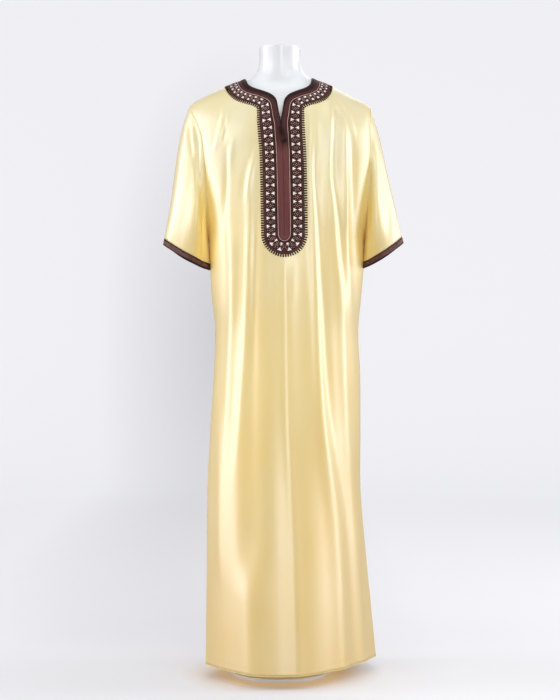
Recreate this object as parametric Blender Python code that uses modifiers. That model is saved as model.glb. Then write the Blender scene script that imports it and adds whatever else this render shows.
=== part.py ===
# A short-sleeved satin gandoura on a limbless dress form, which stands on a pole and a round base.
# Metres, +Z up, the wearer's front towards -Y. The origin is on the floor, under the form's neck.

import math

import bpy
import numpy as np
from mathutils import Vector


def table(columns, *rows):
    """A table as a list of rows, each with its columns by name."""
    return [dict(zip(columns.split(), row)) for row in rows]


# Driving sizes of the gandoura.
CREST_HEIGHT = 1.470      # where the two shoulder lines would meet, over the neck
HEM_HEIGHT = 0.031        # the hem hangs this far above the floor
SHOULDER_FALL = 0.170     # the cloth turns from lying to hanging over this height
CREST_BEHIND = 0.005      # the shoulder line lies this far behind the form's axis
UNDERARM_DROP = 0.410     # from the crest to the underarm
SETTLE_DROP = 0.450       # below this the cloth hangs at one height all across
CLOTH = 0.0014            # wall of the satin
SEAM_GAP = 0.0003

# Driving sizes of what is sewn on.
TRIM_LIFT = 0.0004        # the sewn-on bands stand this far off the satin
BRAID_THICK = 0.0018
BORDER_THICK = 0.0011
BRAID_SHARE = 0.29        # of the trim's width, from the neck edge outwards
BORDER_SHARE = 0.89
TRIM_SHARES = [0.0, 0.145, BRAID_SHARE, 0.49, 0.69, BORDER_SHARE, 1.0]
SLIT_FOOT = 0.470         # how far down the cloth the slit ends
FOOT_RADIUS = 0.0505      # of the trim's round foot
FOOT_STEPS = 5            # in a quarter turn of it
FOOT_ROW_STEP = 0.024     # from the underarm to the next row at the panel's side
KNOT_SIZE = 0.010         # the loop and the knot are scaled from this radius
LOOP_RADIUS = 0.0012

# Driving sizes of the cuffs, the dress form and its stand.
CUFF_LENGTH = 0.0155
CUFF_THICK = 0.0024
CUFF_HALF_DEPTH = 0.048
MOUTH_PINCH = 0.12        # how much flatter a sleeve's mouth is between its corners
MOUTH_DIP = 0.006         # how far the mouth hangs in front and behind
SIDE_SWELL = 0.0070       # how far a sleeve stands off the body's side
SIDE_SWELL_RISE = 0.6     # below 1, that swell is widest above the sleeve's middle
FACE_SWELL = 0.0160       # how far a sleeve swells to the front and the back
FORM_CLEARANCE = 0.0006
NECK_TOP = 1.532
FORM_DROP = 0.685         # from the crest to the form's underside
FORM_ROW_POWER = 1.6      # above 1, the form's rows are closer over the shoulders
POLE_RADIUS = 0.0125
BASE_RADIUS = 0.115
BASE_THICK = 0.008
BASE_EDGE = 0.002

# The heights over which the folds grow, begin and end, and the shares of the sleeve's length for its own.
GROW_HEIGHT = 0.90
BEGIN_HEIGHT = 0.16
END_HEIGHT = 0.14
SLEEVE_BEGIN = 0.35
SLEEVE_FADE = 0.45
SLEEVE_FADE_FROM = 0.60
SHOULDER_BLEND = [0.80, 0.95]

# Edges that are sharper than these, in degrees, are shaded as edges.
CLOTH_SHARP = 50
STAND_SHARP = 35

# How finely the solids are divided.
SIDE_COLUMNS = 15         # from a panel's side to its trim, or to its middle at the back
FRONT_LOWER_ROWS = 15
BACK_LOWER_ROWS = 20
ARMHOLE_BACK_ROWS = 13
SLEEVE_ROWS = 8
FORM_COLUMNS = 28
FORM_ROWS = 16

# The shoulder line's height across the body.
SHOULDER_LINE = table(
    "x z",
    (-0.260, 1.3500),
    (-0.225, 1.3840),
    (-0.208, 1.4000),
    (-0.180, 1.4150),
    (-0.135, 1.4350),
    (-0.085, 1.4535),
    (-0.050, 1.4640),
    (0.000, 1.4700),
    (0.050, 1.4640),
    (0.085, 1.4530),
    (0.135, 1.4330),
    (0.180, 1.4105),
    (0.208, 1.3965),
    (0.225, 1.3815),
    (0.260, 1.3500),
)

# The body's sections, by their drop below the shoulder line. left and right are the panels' edges seen from
# the front, front and back their depths, edge the angle where they end (90 is the side seam), front_round and
# back_round how pointed they are, and skew how far the right side is set back.
SECTIONS = table(
    "drop left right front back edge front_round back_round skew",
    (0.000, -0.2235, 0.2220, 0.128, 0.116, 62, 1.00, 1.00, 0.00),
    (0.050, -0.2060, 0.2190, 0.128, 0.116, 62, 1.00, 1.00, 0.00),
    (0.110, -0.1900, 0.2180, 0.128, 0.118, 62, 1.00, 1.00, 0.00),
    (0.190, -0.1830, 0.2170, 0.131, 0.124, 63, 1.00, 1.00, 0.00),
    (0.300, -0.1770, 0.2120, 0.138, 0.128, 68, 1.00, 1.00, 0.00),
    (0.365, -0.1750, 0.2085, 0.142, 0.128, 77, 1.03, 1.00, 0.01),
    (0.410, -0.1735, 0.2055, 0.145, 0.127, 90, 1.06, 1.00, 0.02),
    (0.480, -0.1690, 0.2025, 0.148, 0.126, 90, 1.10, 0.98, 0.03),
    (0.545, -0.1660, 0.1985, 0.149, 0.126, 90, 1.15, 0.96, 0.04),
    (0.630, -0.1580, 0.1920, 0.150, 0.128, 90, 1.22, 0.94, 0.06),
    (0.740, -0.1620, 0.1970, 0.154, 0.133, 90, 1.32, 0.90, 0.08),
    (0.880, -0.1700, 0.1980, 0.161, 0.139, 90, 1.45, 0.86, 0.11),
    (1.020, -0.1765, 0.1985, 0.170, 0.146, 90, 1.58, 0.82, 0.14),
    (1.170, -0.1775, 0.2110, 0.181, 0.154, 90, 1.72, 0.78, 0.18),
    (1.300, -0.1785, 0.2240, 0.193, 0.161, 90, 1.84, 0.76, 0.21),
    (1.439, -0.1790, 0.2380, 0.205, 0.168, 90, 1.95, 0.74, 0.25),
)

# The long folds. Each runs through these places across the body, at the heights that the names give. lift is
# how far it stands out at the waist (a trough is below zero), spread its growth towards the hem.
FOLD_HEIGHTS = {"chest": 1.20, "waist": 0.95, "thigh": 0.65, "shin": 0.35, "hem": 0.03}
FRONT_FOLDS = table(
    "chest waist thigh shin hem width lift spread top end",
    (-0.140, -0.118, -0.131, -0.137, -0.165, 0.016, 0.0060, 1.2, 1.28, -0.20),
    (-0.098, -0.086, -0.107, -0.124, -0.150, 0.015, 0.0055, 1.0, 1.34, 0.30),
    (-0.075, -0.062, -0.068, -0.095, -0.140, 0.017, -0.0060, 1.3, 1.18, -0.20),
    (-0.055, -0.046, -0.055, -0.070, -0.100, 0.015, 0.0030, 2.2, 1.10, -0.20),
    (-0.030, -0.026, -0.033, -0.036, -0.056, 0.014, -0.0050, 1.8, 0.98, -0.20),
    (0.0095, 0.011, 0.018, 0.025, 0.032, 0.012, 0.0065, 1.3, 1.00, -0.20),
    (0.046, 0.043, 0.052, 0.062, 0.072, 0.018, -0.0045, 1.4, 0.98, -0.20),
    (0.077, 0.083, 0.104, 0.137, 0.192, 0.013, 0.0065, 1.0, 1.36, -0.10),
    (0.095, 0.104, 0.112, 0.122, 0.135, 0.014, 0.0010, 7.0, 0.70, -0.20),
    (0.103, 0.108, 0.128, 0.152, 0.172, 0.013, -0.0055, 1.0, 1.30, -0.20),
    (0.118, 0.136, 0.158, 0.180, 0.212, 0.012, 0.0060, 1.1, 1.36, -0.20),
    (0.135, 0.149, 0.170, 0.190, 0.222, 0.010, -0.0050, 1.0, 1.38, 0.50),
    (0.156, 0.164, 0.182, 0.195, 0.228, 0.010, 0.0055, 0.8, 1.38, 0.60),
    (0.178, 0.181, 0.188, 0.199, 0.232, 0.010, -0.0050, 0.8, 1.36, 0.60),
)
BACK_FOLDS = table(
    "chest waist thigh shin hem width lift spread top end",
    (-0.132, -0.120, -0.126, -0.136, -0.150, 0.016, 0.0065, 1.2, 1.34, -0.20),
    (-0.100, -0.092, -0.095, -0.104, -0.118, 0.015, -0.0055, 1.2, 1.28, -0.20),
    (-0.066, -0.064, -0.066, -0.075, -0.088, 0.014, 0.0060, 1.4, 1.32, -0.20),
    (-0.030, -0.031, -0.034, -0.038, -0.046, 0.018, -0.0050, 1.4, 1.20, -0.20),
    (0.010, 0.006, 0.004, 0.002, -0.004, 0.014, 0.0060, 1.5, 1.22, -0.20),
    (0.046, 0.042, 0.044, 0.047, 0.050, 0.017, -0.0055, 1.3, 1.18, -0.20),
    (0.082, 0.080, 0.085, 0.094, 0.104, 0.014, 0.0065, 1.2, 1.34, -0.20),
    (0.116, 0.116, 0.122, 0.134, 0.148, 0.015, -0.0055, 1.2, 1.28, -0.20),
    (0.150, 0.150, 0.157, 0.172, 0.192, 0.014, 0.0065, 1.1, 1.36, -0.20),
)

# The garment's own middle line, which leans to the right as it comes down the front.
MIDDLE_LINE = table(
    "run x",
    (-0.200, -0.0040),
    (0.000, -0.0040),
    (0.153, 0.0010),
    (0.202, 0.0020),
    (0.272, 0.0067),
    (0.383, 0.0093),
    (0.484, 0.0105),
    (0.600, 0.0110),
)

# The neck edge and the outer tips of its trim. away is the distance from the middle line, run the distance
# down the cloth from the shoulder line. First round the back of the neck, then down the front and the slit.
BACK_TRIM = table(
    "away run tip_away tip_run",
    (0.0805, 0.000, 0.1305, 0.000),
    (0.0750, 0.034, 0.1200, 0.058),
    (0.0620, 0.062, 0.0980, 0.104),
    (0.0420, 0.081, 0.0660, 0.131),
    (0.0210, 0.090, 0.0330, 0.143),
    (0.0000, 0.092, 0.0000, 0.146),
)
FRONT_TRIM = table(
    "away run tip_away tip_run",
    (0.0805, 0.0000, 0.1305, 0.000),
    (0.0795, 0.0360, 0.1290, 0.048),
    (0.0765, 0.0700, 0.1225, 0.089),
    (0.0710, 0.0900, 0.1090, 0.120),
    (0.0580, 0.1080, 0.0900, 0.140),
    (0.0400, 0.1220, 0.0720, 0.153),
    (0.0225, 0.1350, 0.0600, 0.162),
    (0.0135, 0.1455, 0.0545, 0.167),
    (0.0087, 0.1560, 0.0535, 0.176),
    (0.0066, 0.1690, 0.0528, 0.190),
    (0.0040, 0.1850, 0.0522, 0.206),
    (0.0003, 0.2040, 0.0517, 0.222),
    (0.0003, 0.2450, 0.0512, 0.255),
    (0.0003, 0.2900, 0.0510, 0.295),
    (0.0003, 0.3350, 0.0510, 0.336),
    (0.0003, 0.3800, 0.0510, 0.378),
    (0.0003, 0.4250, 0.0510, 0.421),
    (0.0003, 0.4520, 0.0508, 0.448),
)
ARMHOLE_FRONT_ROWS = len(FRONT_TRIM) - 1

# The sleeves: how far each swells under the shoulder, and the two ends of its cuff, seen from the front.
SLEEVES = table(
    "name hand swell out_x out_z in_x in_z",
    ("left", -1, 0.0200, -0.2866, 1.0500, -0.1765, 0.9900),
    ("right", 1, 0.0110, 0.3030, 1.0540, 0.2105, 0.9920),
)
# The sleeve's folds, by their turn about it: 0 under the arm, 0.25 in front, 0.5 outside, 0.75 behind.
SLEEVE_FOLDS = table(
    "turn width lift",
    (0.13, 0.030, -0.006),
    (0.22, 0.035, 0.005),
    (0.31, 0.030, -0.005),
    (0.40, 0.035, 0.004),
    (0.63, 0.040, -0.005),
    (0.74, 0.040, 0.005),
    (0.86, 0.040, -0.005),
)

# The loop and the knot over the slit: their place, how far they stand off, their sizes and their lean.
FASTENING = table(
    "name away run lift wide tall deep lean",
    ("knot_loop", 0.0000, 0.2255, 0.0012, 0.45, 1.05, 1.0, 22),
    ("knot", 0.0050, 0.2445, 0.0050, 0.65, 0.80, 0.50, 22),
)

# The dress form's sections, measured as the body's are.
FORM_SECTIONS = table(
    "drop half front back",
    (0.000, 0.2040, 0.1220, 0.1040),
    (0.060, 0.1960, 0.1190, 0.1030),
    (0.130, 0.1780, 0.1180, 0.1040),
    (0.200, 0.1640, 0.1180, 0.1050),
    (0.300, 0.1540, 0.1160, 0.1000),
    (0.420, 0.1420, 0.1060, 0.0900),
    (0.520, 0.1380, 0.1020, 0.0900),
    (0.620, 0.1430, 0.1020, 0.1000),
    (0.685, 0.1380, 0.0960, 0.0960),
)
# The neck's half width and half depth at each height, and how far behind the origin its middle is.
NECK_RINGS = table(
    "z half deep behind",
    (1.395, 0.0740, 0.0600, 0.004),
    (1.430, 0.0730, 0.0600, 0.004),
    (1.447, 0.0700, 0.0590, 0.004),
    (1.460, 0.0620, 0.0570, 0.003),
    (1.473, 0.0550, 0.0555, 0.001),
    (1.487, 0.0515, 0.0545, -0.001),
    (1.504, 0.0505, 0.0540, -0.003),
    (1.520, 0.0515, 0.0545, -0.005),
    (1.5285, 0.0515, 0.0545, -0.006),
    (NECK_TOP, 0.0490, 0.0520, -0.006),
)


def smooth(rows, key, value, at):
    """A smooth curve through one column of a table, read at a place in another column."""
    keys = [row[key] for row in rows]
    values = [row[value] for row in rows]
    if at <= keys[0]:
        return values[0]
    if at >= keys[-1]:
        return values[-1]
    i = int(np.searchsorted(keys, at, side="right")) - 1

    def slope(k):
        low, high = max(k - 1, 0), min(k + 1, len(keys) - 1)
        return (values[high] - values[low]) / (keys[high] - keys[low])

    span = keys[i + 1] - keys[i]
    u = (at - keys[i]) / span
    start = (2 * u**3 - 3 * u**2 + 1) * values[i] + (u**3 - 2 * u**2 + u) * span * slope(i)
    return start + (3 * u**2 - 2 * u**3) * values[i + 1] + (u**3 - u**2) * span * slope(i + 1)


def ease(u):
    """0 before 0, 1 after 1, and smooth between."""
    u = min(1.0, max(0.0, u))
    return u * u * (3 - 2 * u)


def quarter_run(side):
    """The length of cloth from the shoulder line to where it hangs straight, in front 1 or behind -1."""
    depth = SECTIONS[2]["front"] if side > 0 else SECTIONS[2]["back"]
    return math.pi / 2 * math.sqrt((depth**2 + SHOULDER_FALL**2) / 2)


def drop_of(run, side):
    """The drop below the shoulder line of a place this far down the cloth."""
    quarter = quarter_run(side)
    if run < quarter:
        return SHOULDER_FALL * (1 - math.cos(run / quarter * math.pi / 2))
    return SHOULDER_FALL + run - quarter


def run_of(drop, side):
    """The run to a drop below SHOULDER_FALL."""
    return quarter_run(side) + drop - SHOULDER_FALL


def level_height(x, drop):
    """The height of the cloth: it follows the shoulder line at first, and is level further down."""
    sloped = (smooth(SHOULDER_LINE, "x", "z", x) - CREST_HEIGHT) * (1 - ease(drop / SETTLE_DROP))
    return CREST_HEIGHT - drop + sloped


def fold_lift(folds, x, z):
    """How far the folds move the cloth out, at a place across the body."""
    total = 0.0
    for fold in folds:
        stations = [{"z": FOLD_HEIGHTS[name], "x": fold[name]} for name in reversed(FOLD_HEIGHTS)]
        away = (x - smooth(stations, "z", "x", z)) / fold["width"]
        grown = fold["lift"] * (1 + fold["spread"] * ease((FOLD_HEIGHTS["waist"] - z) / GROW_HEIGHT))
        begun = ease((fold["top"] - z) / BEGIN_HEIGHT)
        ended = ease((z - fold["end"]) / END_HEIGHT)
        total += grown * begun * ended * math.exp(-away * away)
    return total


def body_point(across, run, side):
    """A point of the satin in front 1 or behind -1. across is -1 at the panel's left edge, 1 at its right."""
    face = "front" if side > 0 else "back"
    drop = drop_of(run, side)
    left = smooth(SECTIONS, "drop", "left", drop)
    right = smooth(SECTIONS, "drop", "right", drop)
    edge = math.radians(min(90.0, smooth(SECTIONS, "drop", "edge", drop)))
    middle, half = (left + right) / 2, (right - left) / 2
    angle = math.asin(max(-1.0, min(1.0, across * math.sin(edge))))
    forward = math.sin(min(1.0, run / quarter_run(side)) * math.pi / 2)
    depth = smooth(SECTIONS, "drop", face, drop) * forward
    depth *= max(0.0, math.cos(angle)) ** smooth(SECTIONS, "drop", f"{face}_round", drop)
    x = middle + half * across
    y = CREST_BEHIND + smooth(SECTIONS, "drop", "skew", drop) * (x - middle) - side * depth
    z = level_height(x, drop)
    folds = FRONT_FOLDS if side > 0 else BACK_FOLDS
    lift = fold_lift(folds, x, z) * (1 - across**6) * forward
    return Vector((x + lift * math.sin(angle), y - side * lift * math.cos(angle), z))


def across_of(x, run, side):
    """The place across a panel that has this x."""
    drop = drop_of(run, side)
    left = smooth(SECTIONS, "drop", "left", drop)
    right = smooth(SECTIONS, "drop", "right", drop)
    return (x - (left + right) / 2) / ((right - left) / 2)


def by_middle(away, run, side, hand):
    """A point of the satin, by its distance to the left (hand -1) or right (1) of the middle line."""
    x = smooth(MIDDLE_LINE, "run", "x", side * run) + hand * away
    return body_point(across_of(x, run, side), run, side)


def material(name, colour, roughness, metallic=0.0):
    made = bpy.data.materials.new(name)
    made.use_nodes = True
    shader = made.node_tree.nodes["Principled BSDF"]
    shader.inputs["Base Color"].default_value = (*colour, 1)
    shader.inputs["Roughness"].default_value = roughness
    shader.inputs["Metallic"].default_value = metallic
    return made


def grid_faces(rows, columns, start=0, wrap=False):
    """Triangles over a grid of points that is read row by row."""
    faces = []
    for r in range(rows - 1):
        for c in range(columns if wrap else columns - 1):
            a = start + r * columns + c
            b = start + r * columns + (c + 1) % columns
            faces += [[a, b, b + columns], [a, b + columns, a + columns]]
    return faces


def welded(points, faces):
    """The points with equal ones made one, and the faces that are left between them."""
    keys = {}
    merged = [keys.setdefault(tuple(np.round(point, 6)), len(keys)) for point in points]
    kept = [None] * len(keys)
    for old, new in enumerate(merged):
        kept[new] = kept[new] or points[old]
    named = [[merged[i] for i in face] for face in faces]
    return kept, [face for face in named if len(set(face)) == len(face)], merged


def point_normals(points, faces):
    """The outward direction at each point, from the faces around it."""
    grid = np.array([tuple(point) for point in points])
    corners = np.array(faces)
    crossed = np.cross(grid[corners[:, 1]] - grid[corners[:, 0]], grid[corners[:, 2]] - grid[corners[:, 0]])
    normals = np.zeros_like(grid)
    for i in range(3):
        np.add.at(normals, corners[:, i], crossed)
    return [Vector(normal).normalized() for normal in normals]


def add_solid(name, points, faces, finish, collection):
    mesh = bpy.data.meshes.new(name)
    mesh.from_pydata([tuple(point) for point in points], [], faces)
    mesh.shade_smooth()
    mesh.set_sharp_from_angle(angle=math.radians(CLOTH_SHARP))
    made = bpy.data.objects.new(name, mesh)
    made.data.materials.append(finish)
    collection.objects.link(made)
    return made


def add_wall(name, points, normals, faces, low, high, finish, collection):
    """A wall between two heights over a surface, with a rim on every open edge."""
    count = len(points)
    outer = [point + normal * high for point, normal in zip(points, normals)]
    inner = [point + normal * low for point, normal in zip(points, normals)]
    edges = {(face[i - 1], face[i]) for face in faces for i in range(3)}
    rims = [[b, a, a + count, b + count] for a, b in sorted(edges) if (b, a) not in edges]
    inside = [[i + count for i in reversed(face)] for face in faces]
    return add_solid(name, outer + inner, faces + inside + rims, finish, collection)


def foot_stations():
    """The trim's stations round its foot, a quarter turn about the slit's end from the side to below."""
    rows = []
    for i in range(FOOT_STEPS + 1):
        angle = math.pi / 2 * i / FOOT_STEPS
        rows.append({
            "away": 0.0,
            "run": SLIT_FOOT,
            "tip_away": FOOT_RADIUS * math.cos(angle),
            "tip_run": SLIT_FOOT + FOOT_RADIUS * math.sin(angle),
        })
    return rows


def trim_row(row, side, hand):
    """The satin's points under the trim at one station, from the neck edge to the outer tips."""
    points = []
    for share in TRIM_SHARES:
        away = row["away"] + (row["tip_away"] - row["away"]) * share
        run = row["run"] + (row["tip_run"] - row["run"]) * share
        points.append(by_middle(away, run, side, hand))
    return points


def side_row(end, side, hand):
    """The satin's points from a panel's side to the trim or the middle line, evenly spaced round it."""
    inner_x = smooth(MIDDLE_LINE, "run", "x", side * end["run"]) + hand * end["away"]
    inner = across_of(inner_x, end["run"], side)
    edge = math.radians(min(90.0, smooth(SECTIONS, "drop", "edge", drop_of(end["side_run"], side))))
    first, last = hand * edge, math.asin(inner * math.sin(edge))
    points = []
    for c in range(SIDE_COLUMNS + 1):
        share = c / SIDE_COLUMNS
        run = end["side_run"] + (end["run"] - end["side_run"]) * share
        across = math.sin(first + (last - first) * share) / math.sin(edge)
        points.append(body_point(across, run, side))
    points[-1] = by_middle(end["away"], end["run"], side, hand)
    return points


def panel_rows(side):
    """The rows beside and below the trim, by their runs at both ends and the inner end's place."""
    stations = FRONT_TRIM + foot_stations()[:1] if side > 0 else BACK_TRIM
    armhole_rows = ARMHOLE_FRONT_ROWS if side > 0 else ARMHOLE_BACK_ROWS
    under = run_of(UNDERARM_DROP, side)
    rows = []
    for i, station in enumerate(stations):
        side_run = under * min(i, armhole_rows) / armhole_rows + FOOT_ROW_STEP * max(0, i - armhole_rows)
        rows.append({"side_run": side_run, "away": station["tip_away"], "run": station["tip_run"]})
    to_underarm = {"rows": armhole_rows - len(stations) + 1, "side_run": under, "run": under}
    hem = run_of(CREST_HEIGHT - HEM_HEIGHT, side)
    to_hem = {"rows": FRONT_LOWER_ROWS if side > 0 else BACK_LOWER_ROWS, "side_run": hem, "run": hem}
    for stretch in (to_underarm, to_hem):
        start = rows[-1]
        for i in range(1, stretch["rows"] + 1):
            share = i / stretch["rows"]
            rows.append({
                "side_run": start["side_run"] + (stretch["side_run"] - start["side_run"]) * share,
                "away": start["away"],
                "run": start["run"] + (stretch["run"] - start["run"]) * share,
            })
    return rows


def rows_under_foot(side, hand):
    """The front's points from the trim's round foot down to the hem, read from the side to the middle."""
    hem = run_of(CREST_HEIGHT - HEM_HEIGHT, side)
    points = []
    for i in range(FRONT_LOWER_ROWS + 1):
        for station in foot_stations():
            run = station["tip_run"] + (hem - station["tip_run"]) * i / FRONT_LOWER_ROWS
            points.append(by_middle(station["tip_away"], run, side, hand))
    return points


def panel_surface(side):
    """The surface of the front 1 or the back -1 of the body, with the places of its trim, edges and seams."""
    points, faces, trim, edges, shoulder = [], [], {}, {}, []
    stations = FRONT_TRIM + foot_stations() if side > 0 else BACK_TRIM
    rows = panel_rows(side)
    under = ARMHOLE_FRONT_ROWS if side > 0 else ARMHOLE_BACK_ROWS
    for hand in (-1, 1):
        begin = len(points)
        for k, station in enumerate(stations):
            for c, point in enumerate(trim_row(station, side, hand)):
                trim[(hand, k, c)] = len(points)
                points.append(point)
        shoulder += range(begin, begin + len(TRIM_SHARES))
        inner = grid_faces(len(stations), len(TRIM_SHARES), begin)
        begin = len(points)
        for r, row in enumerate(rows):
            edges[(hand, r)] = len(points)
            points += side_row(row, side, hand)
        shoulder += range(begin, begin + SIDE_COLUMNS + 1)
        outer = grid_faces(len(rows), SIDE_COLUMNS + 1, begin)
        if side > 0:
            outer += grid_faces(FRONT_LOWER_ROWS + 1, FOOT_STEPS + 1, len(points))
            points += rows_under_foot(side, hand)
        flipped = inner if hand * side > 0 else outer
        faces += [face[::-1] for face in flipped] + (outer if hand * side > 0 else inner)
    points, faces, merged = welded(points, faces)
    normals = point_normals(points, faces)
    shoulder = {merged[i] for i in shoulder}
    sides = {merged[i]: hand for (hand, r), i in edges.items() if r >= under}
    for i in shoulder:
        normals[i] = Vector((normals[i].x, 0, normals[i].z)).normalized()
    for i, hand in sides.items():
        normals[i] = Vector((hand, 0, 0))
    return {
        "points": points,
        "faces": faces,
        "normals": normals,
        "stations": len(stations),
        "trim": {place: merged[i] for place, i in trim.items()},
        "edges": {place: merged[i] for place, i in edges.items()},
        "seams": shoulder | set(sides),
    }


def make_panel(name, surface, side, finish, collection):
    """The front or back of the body, its shoulder and side edges half a gap off their seams."""
    off = Vector((0, -side * SEAM_GAP / 2, 0))
    points = [point + off if i in surface["seams"] else point for i, point in enumerate(surface["points"])]
    add_wall(name, points, surface["normals"], surface["faces"], -CLOTH, 0.0, finish, collection)


def make_trim(name, surfaces, first, last, thick, finish, collection):
    """A band over the satin between two of the trim's shares, round the neck and both sides of the slit."""
    points, normals, faces = [], [], []
    for side, surface in surfaces.items():
        for hand in (-1, 1):
            begin = len(points)
            for k in range(surface["stations"]):
                row = [surface["trim"][(hand, k, c)] for c in range(first, last + 1)]
                places = [surface["points"][i].copy() for i in row]
                if first > 0:
                    places[0] += (places[1] - places[0]).normalized() * SEAM_GAP / 2
                else:
                    places[-1] += (places[-2] - places[-1]).normalized() * SEAM_GAP / 2
                points += places
                normals += [surface["normals"][i] for i in row]
            added = grid_faces(surface["stations"], last - first + 1, begin)
            faces += [face[::-1] for face in added] if hand * side > 0 else added
    points, faces, merged = welded(points, faces)
    kept = [None] * len(points)
    for old, new in enumerate(merged):
        kept[new] = kept[new] or normals[old]
    add_wall(name, points, kept, faces, TRIM_LIFT, TRIM_LIFT + thick, finish, collection)


def sleeve_end(sleeve, top, turn):
    """The sleeve's lower edge under a point of the armhole, and the way down the sleeve there."""
    angle = 2 * math.pi * turn
    middle_x = (sleeve["out_x"] + sleeve["in_x"]) / 2
    middle_z = (sleeve["out_z"] + sleeve["in_z"]) / 2
    half_x = (sleeve["out_x"] - sleeve["in_x"]) / 2
    half_z = (sleeve["out_z"] - sleeve["in_z"]) / 2
    mouth = Vector((
        middle_x - half_x * math.cos(angle),
        CREST_BEHIND - CUFF_HALF_DEPTH * math.sin(angle) * (1 - MOUTH_PINCH * math.sin(2 * angle) ** 2),
        middle_z - half_z * math.cos(angle) - MOUTH_DIP * math.sin(angle) ** 2,
    ))
    down = (mouth - top).normalized()
    return mouth - down * (CUFF_LENGTH + SEAM_GAP), down


def sleeve_point(sleeve, top, turn, share):
    """A point of the sleeve, from the armhole at share 0 to the cuff at share 1."""
    hand, angle = sleeve["hand"], 2 * math.pi * turn
    point = top.lerp(sleeve_end(sleeve, top, turn)[0], share)
    arch = math.sin(math.pi * share)
    point.x += hand * sleeve["swell"] * arch * (1 - share) ** 2 * math.sin(math.pi * turn) ** 4
    at_the_side = math.cos(math.pi * turn) ** 6
    point.x += hand * SIDE_SWELL * math.sin(math.pi * share**SIDE_SWELL_RISE) * at_the_side
    point.y -= FACE_SWELL * math.sin(angle) * arch
    lift = 0.0
    for fold in SLEEVE_FOLDS:
        lift += fold["lift"] * math.exp(-(((turn - fold["turn"]) / fold["width"]) ** 2))
    faded = SLEEVE_FADE * ease((share - SLEEVE_FADE_FROM) / (1 - SLEEVE_FADE_FROM))
    lift *= ease(share / SLEEVE_BEGIN) * (1 - faded)
    return point + Vector((-hand * math.cos(angle), -math.sin(angle), 0)) * lift


def tube_faces(rows, columns, hand):
    faces = grid_faces(rows, columns, wrap=True)
    return [face[::-1] for face in faces] if hand > 0 else faces


def make_sleeve(sleeve, surfaces, satin, binding, collection):
    """A sleeve from the armhole's own points to its cuff, and the binding of the cuff."""
    hand = sleeve["hand"]
    armhole = []
    for r in range(ARMHOLE_FRONT_ROWS, -1, -1):
        armhole.append((surfaces[1], r, 0.5 * (1 - r / ARMHOLE_FRONT_ROWS)))
    for r in range(1, ARMHOLE_BACK_ROWS):
        armhole.append((surfaces[-1], r, 0.5 + 0.5 * r / ARMHOLE_BACK_ROWS))
    tops = [surface["points"][surface["edges"][(hand, r)]] for surface, r, turn in armhole]
    turns = [turn for surface, r, turn in armhole]
    columns = len(turns)
    points = [
        sleeve_point(sleeve, top, turn, row / SLEEVE_ROWS)
        for row in range(SLEEVE_ROWS + 1)
        for top, turn in zip(tops, turns)
    ]
    faces = tube_faces(SLEEVE_ROWS + 1, columns, hand)
    normals = point_normals(points, faces)
    for c, (surface, r, turn) in enumerate(armhole):
        along = (tops[(c + 1) % columns] - tops[c - 1]).normalized()
        down = points[columns + c] - points[c]
        points[c] = points[c] + (down - along * down.dot(along)).normalized() * SEAM_GAP
        low, high = SHOULDER_BLEND
        over_the_shoulder = ease((math.sin(math.pi * turn) - low) / (high - low))
        of_the_panel = surface["normals"][surface["edges"][(hand, r)]]
        normals[c] = normals[c].lerp(of_the_panel, over_the_shoulder).normalized()
    add_wall(f"sleeve_{sleeve['name']}", points, normals, faces, -CLOTH, 0.0, satin, collection)
    ends, end_normals = points[-columns:], normals[-columns:]
    points = []
    for row in range(3):
        for end, top, turn in zip(ends, tops, turns):
            points.append(end + sleeve_end(sleeve, top, turn)[1] * (SEAM_GAP + CUFF_LENGTH * row / 2))
    faces = tube_faces(3, columns, hand)
    normals = end_normals + point_normals(points, faces)[columns:]
    add_wall(f"cuff_{sleeve['name']}", points, normals, faces, -CUFF_THICK, 0.0, binding, collection)


def make_form(finish, collection, cutters):
    """The torso, closed along the shoulders and below, joined with the neck that rises from it."""
    points = []
    angles = [2 * math.pi * i / FORM_COLUMNS for i in range(FORM_COLUMNS)]
    for r in range(FORM_ROWS + 1):
        drop = FORM_DROP * (r / FORM_ROWS) ** FORM_ROW_POWER
        half = smooth(FORM_SECTIONS, "drop", "half", drop)
        forward = math.sqrt(1 - (1 - min(1.0, drop / SHOULDER_FALL)) ** 2)
        for angle in angles:
            x = half * math.sin(angle)
            face = "front" if math.cos(angle) > 0 else "back"
            depth = smooth(FORM_SECTIONS, "drop", face, drop) * forward
            z = level_height(x, drop) - CLOTH - FORM_CLEARANCE
            points.append(Vector((round(x, 9), CREST_BEHIND - depth * math.cos(angle), z)))
    faces = grid_faces(FORM_ROWS + 1, FORM_COLUMNS, wrap=True)
    faces += fan(len(points), FORM_ROWS * FORM_COLUMNS, FORM_COLUMNS)
    points.append(sum(points[-FORM_COLUMNS:], Vector()) / FORM_COLUMNS)
    points, faces, merged = welded(points, faces)
    torso = add_solid("form_torso", points, [face[::-1] for face in faces], finish, collection)

    points = []
    for ring in NECK_RINGS:
        for angle in angles:
            y = ring["behind"] - ring["deep"] * math.cos(angle)
            points.append(Vector((ring["half"] * math.sin(angle), y, ring["z"])))
    faces = [face[::-1] for face in grid_faces(len(NECK_RINGS), FORM_COLUMNS, wrap=True)]
    low, high = len(points), len(points) + 1
    points.append(sum(points[:FORM_COLUMNS], Vector()) / FORM_COLUMNS)
    points.append(sum(points[low - FORM_COLUMNS:low], Vector()) / FORM_COLUMNS)
    faces += fan(low, 0, FORM_COLUMNS)
    faces += [face[::-1] for face in fan(high, low - FORM_COLUMNS, FORM_COLUMNS)]
    neck = add_solid("form_neck", points, [face[::-1] for face in faces], finish, cutters)
    neck.hide_render = True
    neck.display_type = "WIRE"
    joined = torso.modifiers.new("join the neck", "BOOLEAN")
    joined.operation = "UNION"
    joined.solver = "EXACT"
    joined.object = neck


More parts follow.
